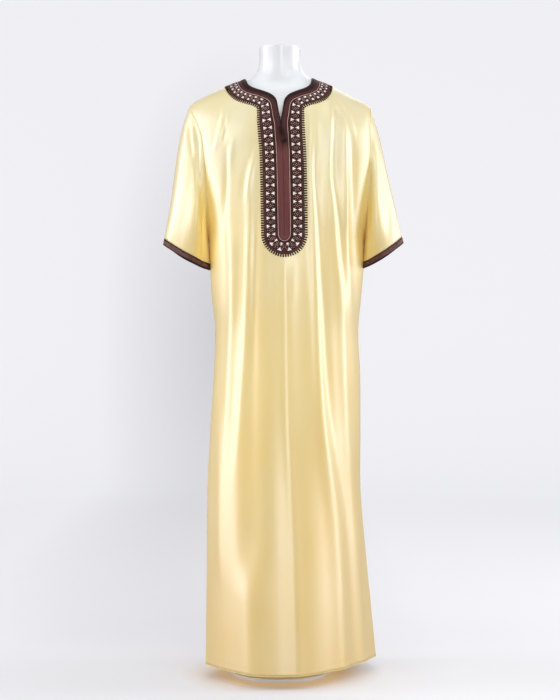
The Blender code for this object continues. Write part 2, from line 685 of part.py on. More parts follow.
def fan(centre, start, columns):
    """Triangles from a ring of points to the point in its middle."""
    return [[start + i, start + (i + 1) % columns, centre] for i in range(columns)]


def place_in(made, name, finish, collection):
    """Name a new primitive, give it its material and put it in its collection."""
    made.name = name
    made.data.name = name
    made.data.materials.append(finish)
    for other in list(made.users_collection):
        other.objects.unlink(made)
    collection.objects.link(made)
    made.data.shade_smooth()
    made.data.set_sharp_from_angle(angle=math.radians(STAND_SHARP))


def make_stand(white, steel, collection):
    """The round base on the floor, and the pole from it to the underside of the torso."""
    middle = (0, 0, BASE_THICK / 2)
    bpy.ops.mesh.primitive_cylinder_add(vertices=40, radius=BASE_RADIUS, depth=BASE_THICK, location=middle)
    base = bpy.context.object
    place_in(base, "stand_base", white, collection)
    rounded = base.modifiers.new("round the edge", "BEVEL")
    rounded.width = BASE_EDGE
    rounded.segments = 2
    low = BASE_THICK + SEAM_GAP
    high = CREST_HEIGHT - FORM_DROP - CLOTH - FORM_CLEARANCE - SEAM_GAP
    middle = (0, 0, (high + low) / 2)
    bpy.ops.mesh.primitive_cylinder_add(vertices=24, radius=POLE_RADIUS, depth=high - low, location=middle)
    place_in(bpy.context.object, "stand_pole", steel, collection)


def make_fastening(binding, collection):
    """The loop of cord that lies on the braid over the slit, and the knot that it holds."""
    top = TRIM_LIFT + BRAID_THICK + SEAM_GAP
    for piece in FASTENING:
        centre = by_middle(piece["away"], piece["run"], 1, 1)
        low = by_middle(piece["away"], piece["run"] + KNOT_SIZE, 1, 1)
        down = (low - centre).normalized()
        out = Vector((1, 0, 0)).cross(down).normalized() * -1
        centre += out * (top + piece["lift"])
        if piece["name"] == "knot_loop":
            bpy.ops.mesh.primitive_torus_add(
                major_segments=20,
                minor_segments=8,
                major_radius=KNOT_SIZE,
                minor_radius=LOOP_RADIUS,
            )
        else:
            bpy.ops.mesh.primitive_uv_sphere_add(segments=16, ring_count=10, radius=KNOT_SIZE)
        made = bpy.context.object
        place_in(made, piece["name"], binding, collection)
        lean = math.radians(piece["lean"])
        across = Vector((1, 0, 0)) * math.cos(lean) - down * math.sin(lean)
        along = out.cross(across)
        for vertex in made.data.vertices:
            local = vertex.co.copy()
            offset = across * local.x * piece["wide"] + along * local.y * piece["tall"]
            vertex.co = centre + offset + out * local.z * piece["deep"]
        made.data.update()


def build():
    for made in list(bpy.data.objects):
        bpy.data.objects.remove(made, do_unlink=True)
    parts = bpy.data.collections.new("gandoura_on_a_dress_form")
    cutters = bpy.data.collections.new("cutters")
    cutters.hide_render = True
    for collection in (parts, cutters):
        bpy.context.scene.collection.children.link(collection)
    satin = material("pale_yellow_satin", (0.86, 0.72, 0.33), 0.30)
    braid = material("dark_brown_braid", (0.060, 0.020, 0.016), 0.60)
    border = material("brown_embroidery", (0.090, 0.035, 0.028), 0.70)
    white = material("white_gloss", (0.82, 0.83, 0.85), 0.18)
    steel = material("brushed_steel", (0.55, 0.56, 0.58), 0.35, 1.0)
    surfaces = {1: panel_surface(1), -1: panel_surface(-1)}
    make_panel("front_panel", surfaces[1], 1, satin, parts)
    make_panel("back_panel", surfaces[-1], -1, satin, parts)
    make_trim("neck_braid", surfaces, 0, 2, BRAID_THICK, braid, parts)
    make_trim("neck_border", surfaces, 2, 5, BORDER_THICK, border, parts)
    for sleeve in SLEEVES:
        make_sleeve(sleeve, surfaces, satin, braid, parts)
    make_form(white, parts, cutters)
    make_stand(white, steel, parts)
    make_fastening(braid, parts)


build()
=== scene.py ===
# A pale yellow satin gandoura with an embroidered neck, on a white dress form.
# Metres, +Z up, the wearer's front towards -Y. Left and right are as seen from the front.
import math

import bmesh
import bpy
import numpy as np
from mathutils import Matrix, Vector


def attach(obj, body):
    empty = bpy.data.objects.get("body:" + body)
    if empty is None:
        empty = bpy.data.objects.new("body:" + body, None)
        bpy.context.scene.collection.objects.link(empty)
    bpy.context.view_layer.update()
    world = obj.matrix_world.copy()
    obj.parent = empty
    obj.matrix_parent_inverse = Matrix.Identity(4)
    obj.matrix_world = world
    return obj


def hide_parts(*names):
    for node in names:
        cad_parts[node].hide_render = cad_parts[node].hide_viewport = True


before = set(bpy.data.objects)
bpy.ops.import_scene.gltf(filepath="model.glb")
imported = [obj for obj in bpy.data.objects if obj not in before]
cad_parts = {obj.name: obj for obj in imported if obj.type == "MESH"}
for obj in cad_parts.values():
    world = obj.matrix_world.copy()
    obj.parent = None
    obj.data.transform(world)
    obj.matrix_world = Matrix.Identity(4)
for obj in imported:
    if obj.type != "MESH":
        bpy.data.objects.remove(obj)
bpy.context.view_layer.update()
print("frame loaded")


# Tables and curves.

def table(columns, *rows):  # each column by its name
    return dict(zip(columns.split(), np.array(rows, float).T))


def smooth(rows, key, value, at):  # a smooth curve through one column, read at places in another
    keys, values = rows[key], rows[value]
    at = np.clip(at, keys[0], keys[-1])
    slopes = np.empty(len(keys))
    slopes[1:-1] = (values[2:] - values[:-2]) / (keys[2:] - keys[:-2])
    slopes[0] = (values[1] - values[0]) / (keys[1] - keys[0])
    slopes[-1] = (values[-1] - values[-2]) / (keys[-1] - keys[-2])
    i = np.clip(np.searchsorted(keys, at, side="right") - 1, 0, len(keys) - 2)
    span = keys[i + 1] - keys[i]
    u = (at - keys[i]) / span
    start = (2 * u**3 - 3 * u**2 + 1) * values[i] + (u**3 - 2 * u**2 + u) * span * slopes[i]
    return start + (3 * u**2 - 2 * u**3) * values[i + 1] + (u**3 - u**2) * span * slopes[i + 1]


def unit(vectors):
    return vectors / np.linalg.norm(vectors, axis=-1, keepdims=True)


def ease(u):
    u = np.clip(u, 0.0, 1.0)
    return u * u * (3 - 2 * u)


# The body of the garment, as it hangs.

robe = {
    "crestHeight": 1.470,
    "hemHeight": 0.031,
    "shoulderFall": 0.170,
    "crestBehind": 0.005,
    "underarmDrop": 0.410,
    "armholeRows": {1: 17, -1: 13},  # from the shoulder to the underarm, in front and behind
    "settleDrop": 0.450,
    "clothThick": 0.0009,
    "beginHeight": 0.16,  # a long fold begins over this height, and ends over the next
    "endHeight": 0.14,
    "footRowStep": 0.024,
    "shoulderLine": table(
        "x z",
        (-0.260, 1.3500), (-0.225, 1.3840), (-0.208, 1.4000), (-0.180, 1.4150), (-0.135, 1.4350),
        (-0.085, 1.4535), (-0.050, 1.4640), (0.000, 1.4700), (0.050, 1.4640), (0.085, 1.4530),
        (0.135, 1.4330), (0.180, 1.4105), (0.208, 1.3965), (0.225, 1.3815), (0.260, 1.3500),
    ),
    "sections": table(
        "drop left right front back edge frontRound backRound skew",
        (0.000, -0.2235, 0.2220, 0.128, 0.116, 62, 1.00, 1.00, 0.00),
        (0.050, -0.2060, 0.2190, 0.128, 0.116, 62, 1.00, 1.00, 0.00),
        (0.110, -0.1900, 0.2180, 0.128, 0.118, 62, 1.00, 1.00, 0.00),
        (0.190, -0.1830, 0.2170, 0.131, 0.124, 64, 1.00, 1.00, 0.00),
        (0.300, -0.1770, 0.2120, 0.138, 0.128, 70, 1.00, 1.00, 0.00),
        (0.365, -0.1750, 0.2085, 0.142, 0.128, 79, 1.03, 1.00, 0.01),
        (0.410, -0.1735, 0.2055, 0.145, 0.127, 90, 1.06, 1.00, 0.02),
        (0.480, -0.1705, 0.2045, 0.148, 0.126, 90, 1.10, 0.98, 0.03),
        (0.545, -0.1670, 0.1995, 0.149, 0.126, 90, 1.15, 0.96, 0.04),
        (0.630, -0.1580, 0.1920, 0.150, 0.128, 90, 1.22, 0.94, 0.06),
        (0.740, -0.1620, 0.1970, 0.154, 0.133, 90, 1.32, 0.90, 0.08),
        (0.880, -0.1700, 0.1980, 0.161, 0.139, 90, 1.45, 0.86, 0.11),
        (1.020, -0.1765, 0.1985, 0.170, 0.146, 90, 1.58, 0.82, 0.14),
        (1.170, -0.1775, 0.2110, 0.181, 0.154, 90, 1.72, 0.78, 0.18),
        (1.300, -0.1785, 0.2240, 0.193, 0.161, 90, 1.84, 0.76, 0.21),
        (1.439, -0.1790, 0.2380, 0.205, 0.168, 90, 1.95, 0.74, 0.25),
    ),
    # Long folds: where each runs at five heights, its width and lift above and below, its top and end.
    "foldHeights": np.array([0.03, 0.35, 0.65, 0.95, 1.20]),
    "foldTurn": [0.35, 0.95],  # between these heights the lower width and lift give way to the upper ones
    "frontFolds": table(
        "chest waist thigh shin hem width lowWidth lift lowLift top end",
        (-0.160, -0.150, -0.148, -0.146, -0.148, 0.012, 0.012, 0.003, 0.0036, 0.72, 0.20),
        (-0.130, -0.140, -0.142, -0.142, -0.142, 0.008, 0.008, -0.0022, -0.002, 1.32, 1.00),
        (-0.124, -0.113, -0.128, -0.140, -0.150, 0.013, 0.014, 0.0048, 0.0015, 1.18, 0.40),
        (-0.094, -0.102, -0.115, -0.125, -0.130, 0.008, 0.012, -0.0012, -0.0012, 1.10, 0.50),
        (-0.072, -0.074, -0.092, -0.120, -0.126, 0.010, 0.013, 0.0036, 0.0008, 1.30, 0.40),
        (-0.056, -0.062, -0.068, -0.070, -0.084, 0.010, 0.025, -0.0030, -0.0044, 1.16, 0.20),
        (-0.060, -0.060, -0.060, -0.064, -0.064, 0.030, 0.034, 0.0, 0.0080, 0.36, -0.20),
        (0.008, 0.012, 0.017, 0.034, 0.044, 0.010, 0.014, 0.0030, 0.0030, 1.04, -0.20),
        (0.074, 0.083, 0.097, 0.136, 0.150, 0.011, 0.018, 0.0046, 0.0062, 1.44, -0.20),
        (0.088, 0.102, 0.120, 0.162, 0.180, 0.011, 0.011, -0.0034, -0.0010, 1.38, -0.20),
        (0.119, 0.143, 0.158, 0.182, 0.205, 0.011, 0.012, 0.0040, 0.0056, 1.46, -0.20),
        (0.150, 0.165, 0.184, 0.204, 0.222, 0.030, 0.028, 0.0055, 0.0055, 1.02, 0.20),
        (0.132, 0.152, 0.182, 0.204, 0.224, 0.009, 0.008, -0.0032, -0.0030, 1.46, 0.90),
        (0.154, 0.164, 0.190, 0.206, 0.228, 0.010, 0.008, 0.0040, 0.0030, 1.46, 0.80),
        (0.175, 0.180, 0.192, 0.204, 0.232, 0.008, 0.008, -0.0025, -0.0020, 1.36, 0.70),
    ),
    "backFolds": table(
        "chest waist thigh shin hem width lowWidth lift lowLift top end",
        (-0.132, -0.120, -0.126, -0.136, -0.150, 0.016, 0.022, 0.0049, 0.0072, 1.34, -0.20),
        (-0.100, -0.092, -0.095, -0.104, -0.118, 0.015, 0.021, -0.0041, -0.0060, 1.28, -0.20),
        (-0.066, -0.064, -0.066, -0.075, -0.088, 0.014, 0.020, 0.0045, 0.0066, 1.32, -0.20),
        (-0.030, -0.031, -0.034, -0.038, -0.046, 0.018, 0.025, -0.0037, -0.0055, 1.20, -0.20),
        (0.010, 0.006, 0.004, 0.002, -0.004, 0.014, 0.020, 0.0045, 0.0066, 1.22, -0.20),
        (0.046, 0.042, 0.044, 0.047, 0.050, 0.017, 0.024, -0.0041, -0.0060, 1.18, -0.20),
        (0.082, 0.080, 0.085, 0.094, 0.104, 0.014, 0.020, 0.0049, 0.0072, 1.34, -0.20),
        (0.116, 0.116, 0.122, 0.134, 0.148, 0.015, 0.021, -0.0041, -0.0060, 1.28, -0.20),
        (0.150, 0.150, 0.157, 0.172, 0.192, 0.014, 0.020, 0.0049, 0.0072, 1.36, -0.20),
    ),
    # Short creases: top x and z, bottom x and z, how far the middle bows aside, width and lift.
    "frontCreases": table(
        "topX topZ lowX lowZ bow width lift",
        (-0.128, 1.395, -0.163, 1.250, 0.002, 0.0045, 0.0034),
        (-0.140, 1.390, -0.172, 1.260, 0.002, 0.0045, -0.0030),
        (-0.120, 1.380, -0.147, 1.275, 0.002, 0.0040, 0.0031),
        (-0.126, 1.365, -0.140, 1.275, 0.001, 0.0038, -0.0030),
        (-0.129, 1.292, -0.132, 1.130, 0.001, 0.0060, -0.0034),
        (-0.112, 1.315, -0.122, 1.200, 0.000, 0.0080, 0.0026),
        (-0.050, 1.290, -0.082, 1.130, -0.003, 0.0070, 0.0026),
        (-0.066, 1.280, -0.095, 1.120, -0.003, 0.0080, -0.0018),
        (0.128, 1.400, 0.158, 1.300, 0.006, 0.0042, 0.0040),
        (0.136, 1.400, 0.170, 1.300, 0.007, 0.0040, -0.0042),
        (0.146, 1.400, 0.181, 1.275, 0.008, 0.0050, 0.0036),
        (0.122, 1.394, 0.143, 1.320, 0.004, 0.0036, -0.0036),
        (0.128, 1.352, 0.122, 1.110, 0.003, 0.0140, -0.0038),
        (0.079, 1.300, 0.088, 1.100, 0.001, 0.0060, -0.0028),
        (0.170, 1.365, 0.181, 1.080, 0.003, 0.0080, -0.0022),
        (0.152, 1.330, 0.157, 0.980, 0.002, 0.0070, 0.0024),
        (-0.060, 1.150, -0.075, 0.950, -0.004, 0.0070, 0.0010),
        (0.010, 1.030, 0.008, 0.880, 0.002, 0.0060, 0.0010),
        (-0.016, 1.020, -0.020, 0.900, -0.002, 0.0060, -0.0010),
        (0.030, 1.025, 0.034, 0.890, 0.002, 0.0070, -0.0010),
    ),
    "backCreases": table(
        "topX topZ lowX lowZ bow width lift",
        (-0.120, 1.380, -0.142, 1.210, 0.005, 0.007, 0.0016),
        (0.118, 1.390, 0.146, 1.270, 0.010, 0.007, 0.0018),
        (-0.050, 1.300, -0.060, 1.060, -0.004, 0.008, 0.0016),
        (0.060, 1.280, 0.066, 1.020, 0.003, 0.008, -0.0014),
        (0.016, 1.200, 0.012, 0.980, 0.002, 0.007, -0.0012),
        (-0.086, 1.100, -0.082, 0.860, 0.004, 0.007, -0.0012),
    ),
    "middleLine": table(
        "run x",
        (-0.200, -0.0040), (0.000, -0.0040), (0.153, 0.0010), (0.202, 0.0020),
        (0.272, 0.0067), (0.383, 0.0093), (0.484, 0.0105), (0.600, 0.0110),
    ),
}


def quarterRun(side):
    depth = robe["sections"]["front" if side > 0 else "back"][2]
    return math.pi / 2 * math.sqrt((depth**2 + robe["shoulderFall"] ** 2) / 2)


def dropOf(run, side):
    quarter, fall = quarterRun(side), robe["shoulderFall"]
    over = fall * (1 - np.cos(run / quarter * math.pi / 2))
    return np.where(run < quarter, over, fall + run - quarter)


def runOf(drop, side):  # below the shoulder fall
    return quarterRun(side) + drop - robe["shoulderFall"]


def hemRun(side, above=0.0):
    return runOf(robe["crestHeight"] - robe["hemHeight"] - above, side)


def levelHeight(x, drop):
    slope = smooth(robe["shoulderLine"], "x", "z", x) - robe["crestHeight"]
    return robe["crestHeight"] - drop + slope * (1 - ease(drop / robe["settleDrop"]))


def foldLift(folds, x, z):
    total = np.zeros_like(x)
    low, high = robe["foldTurn"]
    lower = ease((high - z) / (high - low))
    for i in range(len(folds["width"])):
        places = np.array([folds[name][i] for name in ("hem", "shin", "thigh", "waist", "chest")])
        wide = folds["width"][i] + (folds["lowWidth"][i] - folds["width"][i]) * lower
        away = (x - smooth({"z": robe["foldHeights"], "x": places}, "z", "x", z)) / wide
        grown = folds["lift"][i] + (folds["lowLift"][i] - folds["lift"][i]) * lower
        begun = ease((folds["top"][i] - z) / robe["beginHeight"])
        ended = ease((z - folds["end"][i]) / robe["endHeight"])
        total += grown * begun * ended * np.exp(-away * away)
    return total


def creaseLift(creases, x, z):
    total = np.zeros_like(x)
    for topX, topZ, lowX, lowZ, bow, width, lift in zip(*creases.values()):
        share = (topZ - z) / (topZ - lowZ)
        inside = np.clip(share, 0, 1)
        line = topX + (lowX - topX) * inside + bow * np.sin(math.pi * inside)
        total += lift * np.sin(math.pi * inside) ** 1.5 * np.exp(-(((x - line) / width) ** 2))
    return total


def edgeAngle(drop):  # where a panel ends round the body, up to its side seam
    return np.radians(np.minimum(90, smooth(robe["sections"], "drop", "edge", drop)))


def bodyPoint(across, run, side):  # across is -1 at a panel's left edge and 1 at its right
    across, run = np.broadcast_arrays(np.asarray(across, float), np.asarray(run, float))
    sections, face = robe["sections"], "front" if side > 0 else "back"
    drop = dropOf(run, side)
    left, right = smooth(sections, "drop", "left", drop), smooth(sections, "drop", "right", drop)
    edge = edgeAngle(drop)
    middle, half = (left + right) / 2, (right - left) / 2
    angle = np.arcsin(np.clip(across * np.sin(edge), -1, 1))
    forward = np.sin(np.minimum(1, run / quarterRun(side)) * math.pi / 2)
    depth = smooth(sections, "drop", face, drop) * forward
    depth = depth * np.maximum(0, np.cos(angle)) ** smooth(sections, "drop", face + "Round", drop)
    x = middle + half * across
    y = robe["crestBehind"] + smooth(sections, "drop", "skew", drop) * (x - middle) - side * depth
    z = levelHeight(x, drop)
    folded = foldLift(robe[face + "Folds"], x, z) + creaseLift(robe[face + "Creases"], x, z)
    lift = folded * (1 - across**6) * forward
    return np.stack([x + lift * np.sin(angle), y - side * lift * np.cos(angle), z], -1)


def middleX(run, side):
    return smooth(robe["middleLine"], "run", "x", side * run)


def acrossOf(x, run, side):
    drop = dropOf(run, side)
    left = smooth(robe["sections"], "drop", "left", drop)
    right = smooth(robe["sections"], "drop", "right", drop)
    return (x - (left + right) / 2) / ((right - left) / 2)


def byMiddle(away, run, side, hand):  # by the distance to the left (-1) or right (1) of the middle line
    return bodyPoint(acrossOf(middleX(run, side) + hand * away, run, side), run, side)


# Mesh helpers.

def shown(name, vertices, uvs, warmth, faces, finish):
    mesh = bpy.data.meshes.new(name)
    mesh.from_pydata(vertices.tolist(), [], faces)
    layer = mesh.uv_layers.new(name="cloth")
    corners = np.empty(len(mesh.loops), int)
    mesh.loops.foreach_get("vertex_index", corners)
    layer.data.foreach_set("uv", uvs[corners].ravel())
    mesh.attributes.new("warmth", "FLOAT", "POINT").data.foreach_set("value", warmth)
    mesh.shade_smooth()
    made = bpy.data.objects.new(name, mesh)
    made.data.materials.append(finish)
    bpy.context.scene.collection.objects.link(made)
    return made


def gridFaces(rows, columns, start=0, flip=False, wrap=False):
    r, c = np.meshgrid(np.arange(rows - 1), np.arange(columns if wrap else columns - 1), indexing="ij")
    a = start + r * columns + c
    b = start + r * columns + (c + 1) % columns
    quads = np.stack([a, b, b + columns, a + columns], -1).reshape(-1, 4)
    return (quads[:, ::-1] if flip else quads).tolist()


class Sheets:  # grids of points that become one mesh
    def __init__(self):
        self.points, self.faces, self.uvs, self.warmth, self.count = [], [], [], [], 0

    def grid(self, points, uvs, flip=False, wrap=False, warmth=0.0):
        rows, columns = points.shape[:2]
        self.faces += gridFaces(rows, columns, self.count, flip, wrap)
        self.points.append(points.reshape(-1, 3))
        self.uvs.append(np.broadcast_to(uvs, (rows, columns, 2)).reshape(-1, 2))
        self.warmth.append(np.broadcast_to(warmth, (rows, columns)).ravel())
        self.count += rows * columns

    def cord(self, points, normals, radius, sides=5, uv=(0.05, 0.05), flat=1.0, closed=False):
        rings = tube(points, normals, radius, sides, flat, closed)
        self.lump(rings.reshape(-1, 3), tubeFaces(len(points), sides, closed), uv)

    def lump(self, points, faces, uv):  # a small closed piece with one place on the uv map
        self.faces += [[i + self.count for i in face] for face in faces]
        self.points.append(points)
        self.uvs.append(np.tile(uv, (len(points), 1)))
        self.warmth.append(np.zeros(len(points)))
        self.count += len(points)

    def piece(self, name, finish, weld=0.0):
        made = shown(name, *map(np.concatenate, (self.points, self.uvs, self.warmth)), self.faces, finish)
        if weld:
            soft = bmesh.new()
            soft.from_mesh(made.data)
            bmesh.ops.remove_doubles(soft, verts=soft.verts, dist=weld)
            bmesh.ops.dissolve_degenerate(soft, edges=soft.edges, dist=weld / 4)
            soft.to_mesh(made.data)
            soft.free()
        return made


def only(made):  # the one selected and active object
    for other in bpy.context.selected_objects:
        other.select_set(False)
    made.select_set(True)
    bpy.context.view_layer.objects.active = made


def thicken(made, thick):  # a wall under the outer face
    only(made)
    wall = made.modifiers.new("wall", "SOLIDIFY")
    wall.thickness = thick
    wall.offset = -1
    bpy.ops.object.modifier_apply(modifier=wall.name)
    return made


def tube(points, normals, radius, sides=6, flat=1.0, closed=False):  # rings round a line on the cloth
    if closed:
        along = np.roll(points, -1, 0) - np.roll(points, 1, 0)
    else:
        along = np.gradient(points, axis=0)
    along /= np.linalg.norm(along, axis=1)[:, None] + 1e-12
    aside = np.cross(along, normals)
    aside /= np.linalg.norm(aside, axis=1)[:, None] + 1e-12
    up = np.cross(aside, along)
    turns = np.linspace(0, 2 * math.pi, sides, endpoint=False)[None, :, None]
    radius = np.broadcast_to(radius, (len(points),))[:, None, None]
    return points[:, None] + radius * (np.cos(turns) * aside[:, None] + flat * np.sin(turns) * up[:, None])


def tubeFaces(rows, sides, closed=False):
    faces = []
    for r in range(rows if closed else rows - 1):
        for s in range(sides):
            low, high = r * sides, (r + 1) % rows * sides
            beside = (s + 1) % sides
            faces.append([low + s, low + beside, high + beside, high + s])
    if not closed:
        faces.append(list(range(sides))[::-1])
        faces.append([(rows - 1) * sides + s for s in range(sides)])
    return faces


# Materials.

black, white = (0, 0, 0), (1, 1, 1)


def finishNamed(name, colour, roughness, **sockets):
    made = bpy.data.materials.new(name)
    made.use_nodes = True
    shader = made.node_tree.nodes["Principled BSDF"]
    shader.inputs["Base Color"].default_value = (*colour, 1)
    shader.inputs["Roughness"].default_value = roughness
    for socket, value in sockets.items():
        shader.inputs[socket].default_value = value
    return made


class Wiring:  # short words for a material's nodes
    def __init__(self, made):
        self.tree = made.node_tree
        self.shader = self.tree.nodes["Principled BSDF"]

    def add(self, kind, **values):
        node = self.tree.nodes.new(kind)
        for key, value in values.items():
            setattr(node, key, value)
        return node

    def join(self, source, target):
        self.tree.links.new(source, target)

    def place(self, kind, scale=(1, 1, 1), turn=(0, 0, 0), where=(0, 0, 0)):
        coordinates = self.add("ShaderNodeTexCoord")
        mapping = self.add("ShaderNodeMapping")
        mapping.inputs["Scale"].default_value = scale
        mapping.inputs["Rotation"].default_value = turn
        mapping.inputs["Location"].default_value = where
        self.join(coordinates.outputs[kind], mapping.inputs["Vector"])
        return mapping.outputs["Vector"]

    def noise(self, vector, scale, detail=2.0, roughness=0.5):
        node = self.add("ShaderNodeTexNoise")
        node.inputs["Scale"].default_value = scale
        node.inputs["Detail"].default_value = detail
        node.inputs["Roughness"].default_value = roughness
        self.join(vector, node.inputs["Vector"])
        return node.outputs["Fac"]

    def wave(self, vector, scale, direction="X", distortion=0.0):
        node = self.add("ShaderNodeTexWave", bands_direction=direction)
        node.inputs["Scale"].default_value = scale
        node.inputs["Distortion"].default_value = distortion
        self.join(vector, node.inputs["Vector"])
        return node.outputs["Fac"]

    def ramp(self, value, *stops):
        node = self.add("ShaderNodeValToRGB")
        while len(node.color_ramp.elements) < len(stops):
            node.color_ramp.elements.new(0.5)
        for element, (position, colour) in zip(node.color_ramp.elements, stops):
            element.position = position
            element.color = (*colour, 1)
        self.join(value, node.inputs["Fac"])
        return node.outputs["Color"]

    def between(self, value, low, high, fromLow=0.0, fromHigh=1.0):
        node = self.add("ShaderNodeMapRange")
        ends = {"From Min": fromLow, "From Max": fromHigh, "To Min": low, "To Max": high}
        for socket, number in ends.items():
            node.inputs[socket].default_value = number
        self.join(value, node.inputs["Value"])
        return node.outputs["Result"]

    def math(self, operation, a, b=0.0):
        node = self.add("ShaderNodeMath", operation=operation)
        for socket, value in zip(node.inputs, (a, b)):
            if isinstance(value, (int, float)):
                socket.default_value = value
            else:
                self.join(value, socket)
        return node.outputs["Value"]

    def mix(self, share, a, b, blend="MIX"):
        node = self.add("ShaderNodeMix", data_type="RGBA", blend_type=blend)
        for socket, value in ((node.inputs[0], share), (node.inputs[6], a), (node.inputs[7], b)):
            if isinstance(value, tuple):
                socket.default_value = (*value, 1)
            elif isinstance(value, (int, float)):
                socket.default_value = value
            else:
                self.join(value, socket)
        return node.outputs[2]

    def blend(self, a, b, share):  # share of b
        return self.math("ADD", self.math("MULTIPLY", a, 1 - share), self.math("MULTIPLY", b, share))

    def bump(self, height, strength, distance, under=None):
        node = self.add("ShaderNodeBump")
        node.inputs["Strength"].default_value = strength
        node.inputs["Distance"].default_value = distance
        self.join(height, node.inputs["Height"])
        if under is not None:
            self.join(under, node.inputs["Normal"])
        return node.outputs["Normal"]

    def parts(self, vector):  # a vector's three numbers
        node = self.add("ShaderNodeSeparateXYZ")
        self.join(vector, node.inputs[0])
        return node.outputs

    def length(self, vector):
        node = self.add("ShaderNodeVectorMath", operation="LENGTH")
        self.join(vector, node.inputs[0])
        return node.outputs["Value"]

    def colour(self, value):
        self.join(value, self.shader.inputs["Base Color"])

    def rough(self, value):
        self.join(value, self.shader.inputs["Roughness"])

    def normal(self, value):
        self.join(value, self.shader.inputs["Normal"])


satinLook = {
    "base": (0.885, 0.680, 0.257),
    "deep": (0.885, 0.640, 0.195),
    "pale": (0.895, 0.725, 0.33),
    # The next three are painted light: in the hollows the satin is tinted warmer and glows a little,
    # standing in for light bounced between the folds.
    "hollow": (1.0, 0.70, 0.15),
    "paintedBounceEmission": (1.0, 0.62, 0.14, 1),
    "paintedBounceGlow": 0.075,
    "paintedLightHeights": (0.15, 1.35),  # painted light colour: the cloth is tinted warmer near the floor and cooler at the shoulders
    "paintedLightMiddle": 0.48,
    "paintedWarmLightLow": (0.945, 0.915, 0.90),
    "paintedCoolLightHigh": (0.865, 0.975, 1.40),
    "roughness": 0.40,
}


def makeSatin():
    look = satinLook
    made = finishNamed("paleYellowSatin", look["base"], look["roughness"], **{
        "Sheen Weight": 0.1, "Sheen Roughness": 0.35, "Specular IOR Level": 1.0,
        "Coat Weight": 1.0, "Coat Roughness": 0.36, "Coat IOR": 1.66, "Emission Color": look["paintedBounceEmission"],
    })
    wires = Wiring(made)
    cloth = wires.place("UV")
    dye = wires.noise(wires.place("UV", (5, 2, 1)), 1.6, 3)
    dyeAndPaintedBounce = wires.ramp(dye, (0.25, look["deep"]), (0.52, look["base"]), (0.8, look["pale"]))
    warmth = wires.add("ShaderNodeAttribute", attribute_name="warmth").outputs["Fac"]  # painted bounce light: a warm tint and a glow in the deep hollows
    dyeAndPaintedBounce = wires.mix(warmth, dyeAndPaintedBounce, look["hollow"])
    # painted glow: emission in the hollows, though the satin is no lamp
    wires.join(wires.between(warmth, 0, look["paintedBounceGlow"]), wires.shader.inputs["Emission Strength"])
    # Painted light colour by height: a cooler tint at the shoulders, a warmer one near the floor.
    height = wires.between(wires.parts(wires.place("Object"))[2], 0, 1, *look["paintedLightHeights"])
    tone = wires.ramp(height, (0, look["paintedWarmLightLow"]), (look["paintedLightMiddle"], white), (1, look["paintedCoolLightHigh"]))
    wires.colour(wires.mix(1.0, dyeAndPaintedBounce, tone, "MULTIPLY"))
    floats = wires.noise(wires.place("UV", (900, 60, 1)), 2.0, 3)
    wires.rough(wires.between(floats, 0.38, 0.46))
    warp = wires.wave(cloth, 700, "X")
    weft = wires.wave(cloth, 260, "Y", 0.4)
    fine = wires.bump(wires.blend(warp, weft, 0.4), 0.10, 0.0002)
    rumple = wires.noise(wires.place("UV", (22, 3.2, 1)), 1.0, 1)
    wires.normal(wires.bump(rumple, 0.15, 0.004, fine))
    return made


braidLook = {
    "dark": (0.022, 0.007, 0.006),
    "strip": (0.105, 0.028, 0.027),
    "stripPaintedSheen": (0.200, 0.066, 0.064),
    "stripDark": (0.040, 0.011, 0.010),
    "border": (0.060, 0.018, 0.015),
    "motif": (0.030, 0.007, 0.006),
    "mauve": (0.62, 0.40, 0.35),
    "cream": (0.94, 0.84, 0.78),
    "hem": (0.80, 0.64, 0.26),
    "borderLight": (0.105, 0.040, 0.034),
    "motifLight": (0.065, 0.020, 0.017),
    "mauveLight": (0.76, 0.56, 0.51),
    "creamLight": (0.97, 0.92, 0.88),
    "hemLight": (0.88, 0.74, 0.36),
    "knotLight": (0.045, 0.016, 0.013),
    "cuff": (0.070, 0.024, 0.021),
    "cuffPaintedSheen": (0.185, 0.085, 0.075),
    "turnLow": 0.425,  # metres along the band: from here to the next, the neck's colours become the slit's
    "turnHigh": 0.455,
}


def makeBraid():  # u runs across the band: its binding is from 0 to 0.1, its strip from 0.1 to 0.2
    made = finishNamed("neckBraid", braidLook["dark"], 0.5, **{"Specular IOR Level": 0.16})
    wires = Wiring(made)
    across, along = wires.parts(wires.place("UV"))[:2]
    below = wires.between(along, 0, 1, braidLook["turnLow"], braidLook["turnHigh"])
    # Painted sheen: the lighter streaks along the strip stand in for its lines of sheen.
    streaks = wires.noise(wires.place("UV", (160, 4, 1)), 1.0, 3, 0.6)
    lower = wires.ramp(streaks, (0.36, braidLook["strip"]), (0.64, braidLook["stripPaintedSheen"]))
    upper = wires.ramp(streaks, (0.36, braidLook["stripDark"]), (0.70, braidLook["strip"]))
    binding = wires.mix(below, braidLook["dark"], lower)
    strip = wires.ramp(across, (0, black), (0.098, black), (0.112, white), (0.19, white), (0.21, black))
    wires.colour(wires.mix(strip, binding, wires.mix(below, upper, lower)))
    twill = wires.wave(wires.place("UV", turn=(0, 0, 0.6)), 900, "X")
    plaits = wires.wave(plaitLines(wires, across, along), 1.0, "X")
    wires.normal(wires.bump(wires.blend(twill, plaits, 0.6), 0.35, 0.0004))
    wires.rough(wires.between(streaks, 0.42, 0.6))
    return made


def plaitLines(wires, across, along):  # chevrons of the plaited strip
    within = wires.math("FRACT", wires.math("MULTIPLY", across, 20))
    centre = wires.math("ABSOLUTE", wires.math("SUBTRACT", within, 0.5))
    slanted = wires.math("ADD", wires.math("MULTIPLY", along, 420), wires.math("MULTIPLY", centre, 1.6))
    vector = wires.add("ShaderNodeCombineXYZ")
    wires.join(slanted, vector.inputs[0])
    return vector.outputs[0]


